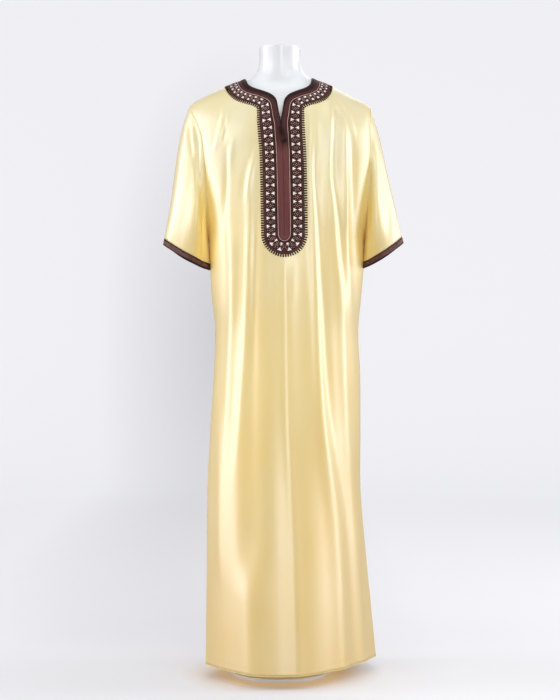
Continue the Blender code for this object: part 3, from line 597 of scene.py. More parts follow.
def makeThread(name, colour, light, roughness, stitch=1100):
    made = finishNamed(name, colour, roughness, **{"Specular IOR Level": 0.14})
    wires = Wiring(made)
    tone = wires.noise(wires.place("Object"), 90, 2)
    wires.colour(wires.mix(wires.between(tone, 0, 1, 0.3, 0.75), colour, light))
    twist = wires.wave(wires.place("UV", turn=(0, 0, 0.5)), stitch, "Y", 0.3)
    wires.normal(wires.bump(twist, 0.4, 0.0003))
    wires.rough(wires.between(tone, roughness - 0.08, roughness + 0.1))
    return made


def makeCuffWeave(length):  # v runs down the binding: dark selvedges, a lighter ribbed middle
    made = finishNamed("cuffWeave", braidLook["cuff"], 0.45, **{"Specular IOR Level": 0.2})
    wires = Wiring(made)
    # Painted sheen: a lighter mottle over the ribbed middle; the same noise also varies the roughness.
    paintedSheenMottle = wires.noise(wires.place("UV", (70, 200, 1)), 1.0, 3, 0.6)
    middle = wires.ramp(paintedSheenMottle, (0.35, braidLook["cuff"]), (0.68, braidLook["cuffPaintedSheen"]))
    down = wires.between(wires.parts(wires.place("UV"))[1], 0, 1, 0, length)
    inside = wires.ramp(down, (0.15, black), (0.26, white), (0.76, white), (0.87, black))
    wires.colour(wires.mix(inside, braidLook["dark"], middle))
    ribs = wires.wave(wires.place("UV"), 420, "X", 0.2)
    fine = wires.wave(wires.place("UV"), 800, "Y")
    wires.normal(wires.bump(wires.blend(ribs, fine, 0.2), 0.4, 0.0003))
    wires.rough(wires.between(paintedSheenMottle, 0.36, 0.55))
    return made


satin = makeSatin()
braid = makeBraid()
borderThread = makeThread("borderThread", braidLook["border"], braidLook["borderLight"], 0.55)
motifThread = makeThread("motifThread", braidLook["motif"], braidLook["motifLight"], 0.55)
creamThread = makeThread("creamThread", braidLook["cream"], braidLook["creamLight"], 0.45, 900)
mauveThread = makeThread("mauveThread", braidLook["mauve"], braidLook["mauveLight"], 0.45)
knotThread = makeThread("knotThread", braidLook["dark"], braidLook["knotLight"], 0.5)
hemThread = makeThread("hemThread", braidLook["hem"], braidLook["hemLight"], 0.4)
print("cloth materials made")


# The neck's trim: the neck edge and the outer tips, on the cloth, at numbered stations.

trim = {
    "slitFoot": 0.470,
    "footRadius": 0.0505,
    "footSteps": 5,
    "satinGap": 0.0004,
    "chartStations": 1401,
    "chartShares": 43,
    "chartReach": (-0.02, 1.10),
    "chartNear": (0.04, 0.03),  # the stations and shares on either side of a point that give its direction
    "lengthSteps": 1200,
    "middleZone": 4.5,  # where lengths along the band are measured, and the middle of its rings
    "backRows": table(
        "away run tipAway tipRun",
        (0.0805, 0.000, 0.1305, 0.000), (0.0750, 0.034, 0.1200, 0.058), (0.0620, 0.062, 0.0980, 0.104),
        (0.0420, 0.081, 0.0660, 0.131), (0.0210, 0.090, 0.0330, 0.143), (0.0000, 0.092, 0.0000, 0.146),
    ),
    "frontRows": table(
        "away run tipAway tipRun",
        (0.0805, 0.0000, 0.1305, 0.000), (0.0795, 0.0360, 0.1290, 0.048), (0.0765, 0.0700, 0.1225, 0.089),
        (0.0710, 0.0900, 0.1090, 0.120), (0.0580, 0.1080, 0.0900, 0.140), (0.0400, 0.1220, 0.0720, 0.153),
        (0.0225, 0.1350, 0.0600, 0.162), (0.0135, 0.1455, 0.0545, 0.167), (0.0087, 0.1560, 0.0535, 0.176),
        (0.0066, 0.1690, 0.0528, 0.190), (0.0040, 0.1850, 0.0522, 0.206), (0.0003, 0.2040, 0.0517, 0.222),
        (0.0003, 0.2450, 0.0512, 0.255), (0.0003, 0.2900, 0.0510, 0.295), (0.0003, 0.3350, 0.0510, 0.336),
        (0.0003, 0.3800, 0.0510, 0.378), (0.0003, 0.4250, 0.0510, 0.421), (0.0003, 0.4520, 0.0508, 0.448),
        (0.0000, 0.4700, 0.0505, 0.470),
    ),
    # Where the parts of the trim end, as shares of its width, by station.
    "zones": table(
        "station binding strip cord stitch motif border tooth",
        (-5, 0.24, 0.40, 0.435, 0.47, 0.80, 0.90, 1.00),
        (4, 0.24, 0.40, 0.435, 0.47, 0.80, 0.90, 1.00),
        (6, 0.20, 0.38, 0.415, 0.46, 0.81, 0.91, 1.01),
        (8, 0.10, 0.31, 0.345, 0.42, 0.82, 0.93, 1.04),
        (10, 0.03, 0.28, 0.32, 0.41, 0.83, 0.95, 1.06),
        (18, 0.01, 0.26, 0.30, 0.41, 0.83, 0.95, 1.06),
        (20, 0.01, 0.27, 0.31, 0.41, 0.83, 0.95, 1.06),
        (23, 0.01, 0.31, 0.35, 0.42, 0.83, 0.95, 1.06),
    ),
}
frontLast = len(trim["frontRows"]["run"]) - 1
backLast = len(trim["backRows"]["run"]) - 1
footEnd = frontLast + trim["footSteps"]
for rows in (trim["backRows"], trim["frontRows"]):
    rows["station"] = np.arange(len(rows["run"]), dtype=float)


def footTip(angle):  # the trim's tips round its foot, by away and run
    return trim["footRadius"] * np.cos(angle), trim["slitFoot"] + trim["footRadius"] * np.sin(angle)


def stationRow(station, side):  # the neck edge and the tip at a station, by away and run
    rows = trim["frontRows"] if side > 0 else trim["backRows"]
    neckAndTip = [smooth(rows, "station", name, station) for name in ("away", "run", "tipAway", "tipRun")]
    if side > 0:
        around = footTip(np.clip(station - frontLast, 0, None) * math.pi / 2 / trim["footSteps"])
        neckAndTip[2:] = [np.where(station > frontLast, *pair) for pair in zip(around, neckAndTip[2:])]
    return neckAndTip


def bandPoint(station, share, hand):  # station below 0 is behind the shoulder line
    station, share = np.broadcast_arrays(np.asarray(station, float), np.asarray(share, float))
    points = np.empty(station.shape + (3,))
    for side in (1, -1):
        here = station >= 0 if side > 0 else station < 0
        if here.any():
            away, run, tipAway, tipRun = stationRow(np.abs(station[here]), side)
            away = away + (tipAway - away) * share[here]
            run = run + (tipRun - run) * share[here]
            points[here] = byMiddle(away, run, side, hand)
    return points


def bandFrame(station, share, hand):  # points of the cloth under the trim, and the outward directions there
    station, share = np.broadcast_arrays(np.asarray(station, float), np.asarray(share, float))
    points = bandPoint(station, share, hand)
    along, aside = trim["chartNear"]
    before = bandPoint(np.clip(station - along, -backLast, footEnd), share, hand)
    after = bandPoint(np.clip(station + along, -backLast, footEnd), share, hand)
    low, high = bandPoint(station, share - aside, hand), bandPoint(station, share + aside, hand)
    normals = np.cross(high - low, after - before)
    normals /= np.linalg.norm(normals, axis=-1)[..., None] + 1e-12
    outward = np.where(station < 0, 1.0, -1.0)  # forward in front, to the back behind
    sign = np.sign(normals[..., 1] * outward + normals[..., 2] * 0.6)
    return points, normals * sign[..., None]


def makeChart(hand):  # the cloth under one half of the trim, to read places from quickly
    stations = np.linspace(-backLast, footEnd, trim["chartStations"])
    shares = np.linspace(*trim["chartReach"], trim["chartShares"])
    points, normals = bandFrame(stations[:, None], shares[None, :], hand)
    return stations, shares, np.concatenate([points, normals], -1)


def onCloth(chart, station, share, lift=0.0):  # places over the satin, and the outward directions there
    stations, shares, known = chart
    a = np.clip((station - stations[0]) / (stations[1] - stations[0]), 0, len(stations) - 1.001)
    b = np.clip((share - shares[0]) / (shares[1] - shares[0]), 0, len(shares) - 1.001)
    a, b = np.broadcast_arrays(a, b)
    i, j = a.astype(int), b.astype(int)
    u, v = (a - i)[..., None], (b - j)[..., None]
    low = known[i, j] * (1 - v) + known[i, j + 1] * v
    read = low * (1 - u) + (known[i + 1, j] * (1 - v) + known[i + 1, j + 1] * v) * u
    normals = unit(read[..., 3:])
    return read[..., :3] + normals * (trim["satinGap"] + np.asarray(lift))[..., None], normals


def zoneShare(station, zone):  # 0 at the neck edge, then 1 to 7 at the ends of the trim's parts
    names = ("binding", "strip", "cord", "stitch", "motif", "border", "tooth")
    ends = [np.zeros_like(station)] + [smooth(trim["zones"], "station", name, station) for name in names]
    zone = np.broadcast_to(zone, station.shape)
    low = np.clip(np.floor(zone).astype(int), 0, 6)
    ends = np.stack(ends)
    first = np.take_along_axis(ends, low[None], 0)[0]
    last = np.take_along_axis(ends, low[None] + 1, 0)[0]
    return first + (last - first) * (zone - low)


def lengthAlong(zone, hand):  # stations and the distance from the back's middle along one zone line
    station = np.linspace(-backLast, footEnd, trim["lengthSteps"])
    points = onCloth(charts[hand], station, zoneShare(station, zone))[0]
    steps = np.linalg.norm(np.diff(points, axis=0), axis=1)
    return station, np.concatenate([[0], np.cumsum(steps)])


def skewAt(station, distance, zone, hand):  # how far a cross line leans along the band, for each zone
    reach = 0.4
    places = (zone - reach, zone, zone + reach)
    low, middle, high = (onCloth(charts[hand], station, zoneShare(station, place))[0] for place in places)
    return np.sum((high - low) / (2 * reach) * np.gradient(middle, distance, axis=0), 1)


charts = {hand: makeChart(hand) for hand in (-1, 1)}


# The satin panels.

panel = {
    "sideColumns": 60,
    "trimColumns": 14,
    "stationSteps": 4,
    "footSteps": 5,
    "lowerRows": {1: 150, -1: 180},  # below the trim, in front and behind
    "uvDepth": 0.05,
    "uvRadius": 0.19,
    "weld": 0.00002,
    "hollow": {-1: 1.0, 1: 0.8},  # how much painted warm glow and tint the satin gets beside the left and the right sleeve
    "hollowWide": 0.11,
    "hollowLow": 0.90,
    "hollowLowFade": 0.14,
    "hollowHigh": 1.34,
    "hollowHighFade": 0.25,
}


def panelRows(side):  # for each row: its run at the side, and its inner end's away and run
    last = frontLast if side > 0 else backLast
    toUnderarm = robe["armholeRows"][side]
    under = runOf(robe["underarmDrop"], side)
    stations = np.linspace(0, last, last * panel["stationSteps"] + 1)
    sideRun = under * np.minimum(stations, toUnderarm) / toUnderarm
    sideRun = sideRun + robe["footRowStep"] * np.maximum(0, stations - toUnderarm)
    rows = [np.stack([sideRun, *stationRow(stations, side)[2:]])]
    goals = [(hemRun(side), lowerSteps(side))]
    if side < 0:  # on to the underarm first
        goals.insert(0, (under, np.linspace(0, 1, (toUnderarm - last) * panel["stationSteps"] + 1)[1:]))
    for goal, steps in goals:
        sideStart, away, innerStart = rows[-1][:, -1]
        rows.append(np.stack([
            sideStart + (goal - sideStart) * steps,
            np.full_like(steps, away),
            innerStart + (goal - innerStart) * steps,
        ]))
    return np.concatenate(rows, 1)


def lowerSteps(side):
    return np.linspace(0, 1, panel["lowerRows"][side] + 1)[1:]


def clothUv(points, run):  # metres round the body and down the cloth
    aroundBody = np.arctan2(points[..., 0], np.abs(points[..., 1]) + panel["uvDepth"]) * panel["uvRadius"]
    return np.stack([aroundBody, np.broadcast_to(run, points.shape[:-1])], -1)


def paintedBounceBesideSleeve(across, z, hand):  # how much painted warm glow and tint the satin gets in the hollow beside a sleeve
    near = np.exp(-(((1 - np.abs(across)) / panel["hollowWide"]) ** 2))
    above = ease((z - panel["hollowLow"]) / panel["hollowLowFade"])
    return panel["hollow"][hand] * near * above * ease((panel["hollowHigh"] - z) / panel["hollowHighFade"])


def makePanel(name, side):
    sheets = Sheets()
    last = frontLast if side > 0 else backLast
    for hand in (-1, 1):
        flip = hand * side > 0
        stations = np.linspace(0, last, last * panel["stationSteps"] + 1)
        footColumns = trim["footSteps"] * panel["footSteps"] + 1
        if side > 0:
            foot = np.linspace(0, trim["footSteps"], footColumns)[1:] + frontLast
            stations = np.concatenate([stations, foot])
        station, share = np.meshgrid(stations, np.linspace(0, 1, panel["trimColumns"] + 1), indexing="ij")
        away, run, tipAway, tipRun = stationRow(station, side)
        run = run + (tipRun - run) * share
        points = byMiddle(away + (tipAway - away) * share, run, side, hand)
        sheets.grid(points, clothUv(points, run), flip)
        sideRun, innerAway, innerRun = panelRows(side)
        column = np.linspace(0, 1, panel["sideColumns"] + 1)
        inner = acrossOf(middleX(innerRun, side) + hand * innerAway, innerRun, side)
        edge = edgeAngle(dropOf(sideRun, side))
        first, end = hand * edge, np.arcsin(inner * np.sin(edge))
        run = sideRun[:, None] + (innerRun - sideRun)[:, None] * column
        across = np.sin(first[:, None] + (end - first)[:, None] * column) / np.sin(edge)[:, None]
        across[:, -1] = inner
        points = bodyPoint(across, run, side)
        # painted bounce light in the hollows beside the sleeves
        warmth = paintedBounceBesideSleeve(across, points[..., 2], hand)
        sheets.grid(points, clothUv(points, run), not flip, warmth=warmth)
        if side > 0:
            tipAway, tipRun = footTip(np.linspace(0, math.pi / 2, footColumns))
            steps = np.concatenate([[0], lowerSteps(side)])[:, None]
            run = tipRun + (hemRun(side) - tipRun) * steps
            points = byMiddle(np.broadcast_to(tipAway, run.shape), run, side, hand)
            sheets.grid(points, clothUv(points, run), not flip)
    return thicken(sheets.piece(name, satin, panel["weld"]), robe["clothThick"])


frontSatin = makePanel("frontSatin", 1)
backSatin = makePanel("backSatin", -1)
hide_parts("front_panel")
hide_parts("back_panel")
print("panels made")


# The sleeves and their cuffs.

sleeve = {
    "columnsPerRow": 5,
    "rows": 56,
    "cuffLength": 0.0155,
    "cuffThick": 0.0021,
    "cuffHalfDepth": 0.048,
    "mouthPinch": 0.12,  # how much flatter the mouth is between its corners
    "mouthDip": 0.006,
    "sideSwell": 0.0015,
    "sideSwellRise": 0.6,  # below 1, the side's swell is widest above the middle
    "faceSwell": 0.0170,
    "crown": 0.36,  # the faces swell most here, from the armpit, 0, to the outer edge, 1
    "flatten": 0.0045,  # how much the outer half swells less
    "foldBegin": 0.35,
    "foldFade": 0.45,
    "foldFadeFrom": 0.60,
    # hollowTurn, hollowWide and hollowFade place the painted warm glow round the sleeve and fade it in from
    # the armhole.
    "hollowTurn": 0.13,
    "hollowWide": 0.09,
    "gap": 0.0003,
    "hollowFade": 0.3,
    "creaseFade": 0.06,
    "allowance": 0.004,
    "allowanceUnder": 0.0022,  # how far under the body the hidden edge lies
    "seamUnder": 0.0001,
    "cuffRows": 9,
    "cuffStitchRows": (1, 7),
    "cuffCrown": 0.0005,
    "cuffStitch": 0.0026,
    "cuffStitchStep": 0.0038,
    "uvRound": 0.36,
    "cuffUvRound": 0.3,
    # The swell is under the shoulder, and hollow is how much painted warm glow the sleeve gets. The last two
    # are the cuff's outer and inner end, each an x and a z.
    "left": {
        "hand": -1, "folds": 1.0, "hollow": 1.0, "swell": 0.0200,
        "out": (-0.2866, 1.0500), "in": (-0.1700, 0.9870),
    },
    "right": {
        "hand": 1, "folds": 0.4, "hollow": 0.6, "swell": 0.0110,
        "out": (0.3030, 1.0540), "in": (0.2030, 0.9920),
    },
    "folds": table(
        "turn width lift",
        (0.13, 0.030, -0.005), (0.22, 0.035, 0.004), (0.31, 0.030, -0.001), (0.40, 0.035, 0.001),
        (0.63, 0.040, -0.005), (0.74, 0.040, 0.005), (0.86, 0.040, -0.005),
    ),
    "leftCreases": table(
        "topX topZ lowX lowZ bow width lift",
        (-0.2060, 1.395, -0.1740, 1.030, -0.006, 0.0085, -0.0075),
        (-0.2240, 1.375, -0.2080, 1.230, -0.002, 0.0055, -0.0040),
        (-0.2160, 1.370, -0.2000, 1.230, -0.002, 0.0045, 0.0030),
    ),
    "rightCreases": table(
        "topX topZ lowX lowZ bow width lift",
        (0.2130, 1.380, 0.2150, 1.020, 0.004, 0.0080, -0.0020),
        (0.2300, 1.360, 0.2330, 1.120, 0.004, 0.0080, 0.0035),
        (0.2500, 1.280, 0.2600, 1.050, 0.003, 0.0090, -0.0022),
        (0.2680, 1.200, 0.2760, 1.050, 0.003, 0.0080, 0.0018),
    ),
}


seam = {
    "thick": 0.0006,
    "armholeThick": 0.0009,
    "hemRoll": 0.0010,
    "hemRollOver": 0.0005,  # how far the roll's middle is over the hem's edge
    "hemRollUnder": 0.0004,
    "hemRise": 0.018,
    "shoulderUnder": 0.004,  # how far the shoulder seam runs in under the trim
    "inset": 0.018,
    "long": 0.0032,
    "step": 0.0048,
    "thread": 0.0004,
}
seamSheets, stitchSheets, cuffStitchSheets = Sheets(), Sheets(), Sheets()
cuffWeave = makeCuffWeave(sleeve["cuffLength"])


def stitchRow(sheets, points, normals, long=seam["long"], step=seam["step"]):  # stitches along a line
    normals = np.broadcast_to(normals, points.shape)
    known = np.concatenate([[0], np.cumsum(np.linalg.norm(np.diff(points, axis=0), axis=1))])
    count = int(known[-1] / step)
    for middle in (np.arange(count) + 0.5) * known[-1] / count:
        at = middle + np.array([-0.5, -0.25, 0.25, 0.5]) * long
        place = np.stack([np.interp(at, known, points[:, i]) for i in range(3)], 1)
        out = np.stack([np.interp(at, known, normals[:, i]) for i in range(3)], 1)
        lift = seam["thread"] * np.array([-0.3, 0.7, 0.7, -0.3])[:, None]
        radius = seam["thread"] * np.array([0.6, 1.0, 1.0, 0.6])
        sheets.cord(place + out * lift, out, radius, uv=(0.05, middle))


def bodyFrame(across, run, side):  # points of a panel and the outward directions there
    beside = bodyPoint(across + 0.004, run, side) - bodyPoint(across - 0.004, run, side)
    below = bodyPoint(across, run + 0.001, side) - bodyPoint(across, run - 0.001, side)
    return bodyPoint(across, run, side), unit(np.cross(beside, below) * -side)


def makeBodySeams():
    around = np.sin(np.linspace(-math.pi / 2, math.pi / 2, 260))
    for side in (1, -1):
        points, normals = bodyFrame(around, hemRun(side, seam["hemRollOver"]), side)
        seamSheets.cord(points - normals * seam["hemRollUnder"], normals, seam["hemRoll"])
        points, normals = bodyFrame(around[3:-3], hemRun(side, seam["hemRise"]), side)
        stitchRow(stitchSheets, points, normals)
    for hand in (-1, 1):
        run = np.linspace(runOf(robe["underarmDrop"], 1), hemRun(1), 160)
        seamSheets.cord(bodyPoint(hand, run, 1), (hand, 0, 0), seam["thick"])
        away = trim["frontRows"]["tipAway"][0] - seam["shoulderUnder"]
        tip = acrossOf(middleX(0.0, 1) + hand * away, 0.0, 1)
        seamSheets.cord(bodyPoint(np.linspace(tip, hand, 40), 0.0, 1), (0, 0, 1), seam["thick"])


makeBodySeams()


def sleeveEnd(shape, tops, turn):  # where the satin meets the cuff, and the directions down to the mouth
    angle = 2 * math.pi * turn
    (outX, outZ), (inX, inZ) = shape["out"], shape["in"]
    pinch = 1 - sleeve["mouthPinch"] * np.sin(2 * angle) ** 2
    mouth = np.stack([
        (outX + inX) / 2 - (outX - inX) / 2 * np.cos(angle),
        robe["crestBehind"] - sleeve["cuffHalfDepth"] * np.sin(angle) * pinch,
        (outZ + inZ) / 2 - (outZ - inZ) / 2 * np.cos(angle) - sleeve["mouthDip"] * np.sin(angle) ** 2,
    ], -1)
    down = unit(mouth - tops)
    return mouth - down * (sleeve["cuffLength"] + sleeve["gap"]), down


def armhole(hand, inset=0.0):  # its points and turns, from under the arm up the front and down the back
    tops, turns = [], []
    for side, rows in robe["armholeRows"].items():
        count = rows * sleeve["columnsPerRow"]
        share = np.linspace(1, 0, count + 1) if side > 0 else np.linspace(0, 1, count + 1)[1:-1]
        run = runOf(robe["underarmDrop"], side) * share
        tops.append(bodyPoint(np.full_like(run, hand * (1 - inset)), run, side))
        turns.append(0.5 * (1 - share) if side > 0 else 0.5 + 0.5 * share)
    return np.concatenate(tops), np.concatenate(turns)


def sleevePoints(shape, tops, turn, share):
    hand, angle = shape["hand"], 2 * math.pi * turn
    end, down = sleeveEnd(shape, tops, turn)
    share = share[:, None]
    points = tops + (end - tops) * share[..., None]
    arch = np.sin(math.pi * share)
    points[..., 0] += hand * shape["swell"] * arch * (1 - share) ** 2 * np.sin(math.pi * turn) ** 4
    swell = np.sin(math.pi * share ** sleeve["sideSwellRise"])
    points[..., 0] += hand * sleeve["sideSwell"] * swell * np.cos(math.pi * turn) ** 6
    half = np.where(turn < 0.5, turn, 1 - turn) * 2  # from the armpit, 0, to the outer edge, 1
    inner, outer = half / sleeve["crown"], (half - sleeve["crown"]) / (1 - sleeve["crown"])
    crown = np.where(inner < 1, np.sin(math.pi / 2 * inner), np.cos(math.pi / 2 * outer))
    flat = sleeve["flatten"] * np.sin(2 * math.pi * np.clip(half - 0.5, 0, 0.5))
    hung = sleeve["faceSwell"] * crown - flat
    points[..., 1] -= hung * np.where(turn < 0.5, 1, -1) * arch
    folds = zip(*sleeve["folds"].values())
    lift = sum(height * np.exp(-(((turn - place) / width) ** 2)) for place, width, height in folds)
    faded = sleeve["foldFade"] * ease((share - sleeve["foldFadeFrom"]) / (1 - sleeve["foldFadeFrom"]))
    lift = lift * ease(share / sleeve["foldBegin"]) * (1 - faded) * shape["folds"]
    creases = sleeve["leftCreases" if hand < 0 else "rightCreases"]
    lift = lift + creaseLift(creases, points[..., 0], points[..., 2]) * ease(share / sleeve["creaseFade"])
    points[..., 0] -= hand * np.cos(angle) * lift
    points[..., 1] -= np.sin(angle) * lift
    return points


def makeSleeve(name, cuffName, shape):
    hand, (tops, turn) = shape["hand"], armhole(shape["hand"])
    share = np.linspace(0, 1, sleeve["rows"] + 1)
    points = sleevePoints(shape, tops, turn, share)
    end, down = sleeveEnd(shape, tops, turn)
    edge = unit(np.roll(tops, -1, 0) - np.roll(tops, 1, 0))
    step = points[1] - points[0]
    step = unit(step - edge * np.sum(step * edge, 1)[:, None])
    inward = np.cross(edge, step) * hand
    hidden = tops - step * sleeve["allowance"] + inward * sleeve["allowanceUnder"]
    points[0] = tops + inward * sleeve["seamUnder"]
    seamSheets.cord(tops, -inward, seam["armholeThick"], closed=True)
    seamSheets.cord(points[:, 0], (-hand, 0, 0), seam["thick"])
    stitchRow(stitchSheets, armhole(hand, seam["inset"])[0][4:-4], -inward[4:-4])
    length = share[:, None] * np.linalg.norm(end - tops, axis=1)
    uvs = np.stack(np.broadcast_arrays(turn * sleeve["uvRound"], length), -1)
    # painted bounce light: a warm tint and glow along the sleeve's inner fold
    glow = np.exp(-(((turn - sleeve["hollowTurn"]) / sleeve["hollowWide"]) ** 2)) * shape["hollow"]
    glow = glow * ease(np.append(0, share)[:, None] / sleeve["hollowFade"])
    points, uvs = np.concatenate([hidden[None], points]), np.concatenate([uvs[:1], uvs])
    sheets = Sheets()
    sheets.grid(points, uvs, hand > 0, True, glow)
    made = thicken(sheets.piece(name, satin), robe["clothThick"])
    return made, makeCuff(cuffName, hand, points[-1], down, turn)


def makeCuff(name, hand, top, down, turn):
    angle, share = 2 * math.pi * turn, np.linspace(0, 1, sleeve["cuffRows"])[:, None]
    outward = np.stack([-hand * np.cos(angle), -np.sin(angle), np.zeros_like(turn)], -1)
    crown = outward * (sleeve["cuffCrown"] * np.sin(math.pi * share))[..., None]
    points = top + down * (sleeve["gap"] + sleeve["cuffLength"] * share)[..., None] + crown
    sheets = Sheets()
    uvs = np.stack(np.broadcast_arrays(turn * sleeve["cuffUvRound"], share * sleeve["cuffLength"]), -1)
    sheets.grid(points, uvs, hand > 0, True)
    for row in sleeve["cuffStitchRows"]:
        stitchRow(cuffStitchSheets, points[row], outward, sleeve["cuffStitch"], sleeve["cuffStitchStep"])
    return thicken(sheets.piece(name, cuffWeave), sleeve["cuffThick"])


sleeveLeft, cuffLeft = makeSleeve("sleeveSatinLeft", "cuffBindingLeft", sleeve["left"])
sleeveRight, cuffRight = makeSleeve("sleeveSatinRight", "cuffBindingRight", sleeve["right"])
seamLines = seamSheets.piece("seamLines", hemThread)
seamStitches = stitchSheets.piece("seamStitches", hemThread)
cuffStitches = cuffStitchSheets.piece("cuffStitches", knotThread)
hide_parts("sleeve_left")
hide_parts("sleeve_right")
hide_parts("cuff_left")
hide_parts("cuff_right")
print("sleeves made")


# The braid and the embroidered border.

def bandStations(step):
    return np.linspace(-backLast, footEnd, int((footEnd + backLast) / step) + 1)


bands = {
    "thick": 0.0004,
    "step": 0.25,
    "cordStep": 0.1,
    "braid": table(
        "zone height",
        (0.0, 0.0006), (0.12, 0.0014), (0.3, 0.0019), (0.5, 0.0021), (0.7, 0.0019),
        (0.88, 0.0014), (1.0, 0.0008), (1.1, 0.0011), (1.25, 0.0012), (1.4, 0.0009),
        (1.5, 0.0008), (1.6, 0.0009), (1.75, 0.0012), (1.9, 0.0011), (2.0, 0.0008),
    ),
    "border": table(
        "zone height",
        (2.0, 0.0006), (2.5, 0.0007), (3.0, 0.0007), (3.5, 0.0009), (4.0, 0.0007),
        (4.25, 0.0006), (4.5, 0.0006), (4.75, 0.0006), (5.0, 0.0007), (5.12, 0.0010),
        (5.3, 0.0013), (5.5, 0.0014), (5.7, 0.0013), (5.88, 0.0010), (6.0, 0.0006),
    ),
    # Cords, by zone, radius and lift.
    "lightCord": [(2.5, 0.00065, 0.0014)],
    "edgeCords": [(3.3, 0.0009, 0.0012), (3.8, 0.0009, 0.0012), (5.05, 0.0008, 0.0012)],
}


def makeBand(name, rows, finish):  # a band over the satin with a height at each zone
    sheets, stations = Sheets(), bandStations(bands["step"])
    station, zone = np.meshgrid(stations, rows["zone"], indexing="ij")
    for hand in (-1, 1):
        points, normals = onCloth(charts[hand], station, zoneShare(station, zone), rows["height"][None, :])
        along = np.interp(stations, *lengthAlong(trim["middleZone"], hand))
        sheets.grid(points, np.stack(np.broadcast_arrays(zone / 10, along[:, None]), -1), flip=hand < 0)
    return thicken(sheets.piece(name, finish, panel["weld"]), bands["thick"])


neckBraid = makeBand("neckBraidBand", bands["braid"], braid)
neckBorder = makeBand("neckBorderBand", bands["border"], borderThread)
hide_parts("neck_braid")
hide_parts("neck_border")


def makeCords(name, lines, finish):
    sheets, stations = Sheets(), bandStations(bands["cordStep"])
    for hand in (-1, 1):
        for zone, radius, lift in lines:
            points, normals = onCloth(charts[hand], stations, zoneShare(stations, zone), lift)
            along = np.interp(stations, *lengthAlong(zone, hand))
            uvs = np.stack(np.broadcast_arrays(np.linspace(0, 0.004, 5), along[:, None]), -1)
            sheets.grid(tube(points, normals, radius, 5), uvs, wrap=True)
    return sheets.piece(name, finish)


mauveCord = makeCords("mauveCord", bands["lightCord"], mauveThread)
edgeCords = makeCords("edgeCords", bands["edgeCords"], motifThread)

motif = {
    "pitches": table("station pitch", (-5, 0.0158), (5, 0.0158), (9, 0.0195), (23, 0.0195)),
    "ringSides": 22,
    "ringAside": 0.93,
    "ringAlong": 0.36,
    "rings": [(0.93, 0.0009), (0.55, 0.0007)],  # size and cord
    "ringLift": 0.0012,
    "dotLift": 0.0013,
    "dotRadius": 0.0011,
    "dots": [
        (0.0, 0.74), (0.0, -0.74), (0.0, 0.30), (0.0, -0.30), (0.13, 0.0), (-0.13, 0.0),
        (0.24, 0.44), (-0.24, 0.44), (0.24, -0.44), (-0.24, -0.44),
    ],
    # A pad's rows from its point out. Beside the slit, where the pitch is long, it is slim and longer.
    "pads": table(
        "aside half slimAside slimHalf",
        (0.34, 0.19, 0.16, 0.030), (0.42, 0.16, 0.30, 0.050), (0.52, 0.15, 0.45, 0.090),
        (0.63, 0.17, 0.59, 0.140), (0.74, 0.21, 0.72, 0.190), (0.84, 0.26, 0.83, 0.235),
        (0.92, 0.30, 0.92, 0.265),
    ),
    "padColumns": 5,
    "padLow": 0.0002,
    "padEdge": 0.0009,
    "padRise": 0.0012,
    "slimFrom": 0.0165,
    "slimFade": 0.002,
}


def makeMotifs():
    dark, cream, dots = Sheets(), Sheets(), Sheets()
    turns = np.linspace(0, 2 * math.pi, motif["ringSides"], endpoint=False)
    for hand in (-1, 1):
        station, distance = lengthAlong(trim["middleZone"], hand)
        pitch = smooth(motif["pitches"], "station", "pitch", station)
        count = np.concatenate([[0], np.cumsum(np.diff(distance) / (pitch[1:] + pitch[:-1]) * 2)])
        total = round(count[-1])
        centres = np.interp(np.arange(total + 1) * count[-1] / total, count, distance)
        skew = skewAt(station, distance, trim["middleZone"], hand) / 2

        def onBand(along, aside, lift):  # aside runs from -1 to 1 across the motif zone, square to it
            here = np.interp(along - aside * np.interp(along, distance, skew), distance, station)
            return onCloth(charts[hand], here, zoneShare(here, trim["middleZone"] + aside / 2), lift)

        for centre, gap in zip(centres, np.gradient(centres)):
            for size, cord in motif["rings"]:
                along = centre + np.sin(turns) * gap * motif["ringAlong"] * size
                aside = np.cos(turns) * motif["ringAside"] * size
                if distance[0] < along.min() and along.max() < distance[-1]:
                    points, normals = onBand(along, aside, motif["ringLift"])
                    dark.cord(points, normals, cord, uv=(0.05, centre), closed=True)
            for dx, dy in motif["dots"]:
                if distance[0] < centre + dx * gap < distance[-1]:
                    point, normal = onBand(np.array([centre + dx * gap]), np.array([dy]), motif["dotLift"])
                    dots.lump(*dot(point[0], normal[0], motif["dotRadius"]), (0.05, centre))
        for first, last in zip(centres[:-1], centres[1:]):
            middle = (first + last) / 2
            for way in (-1, 1):
                cream.lump(*pad(onBand, middle, last - first, way), (0.05, middle))
    rings, pads = dark.piece("motifRings", motifThread), cream.piece("creamPads", creamThread)
    return rings, pads, dots.piece("motifDots", mauveThread)


def dot(point, normal, radius):  # a small raised seed of thread
    aside = unit(np.cross(normal, (0.3, 0.1, 0.9)))
    up = np.cross(normal, aside)
    turns = np.linspace(0, 2 * math.pi, 6, endpoint=False)
    around = [radius * (math.cos(turn) * aside + math.sin(turn) * up) for turn in turns]
    low = [point + arm for arm in around]
    high = [point + arm * 0.6 + normal * radius * 0.6 for arm in around]
    return np.array(low + high), gridFaces(2, 6, wrap=True) + [list(range(6, 12)), list(range(6))[::-1]]


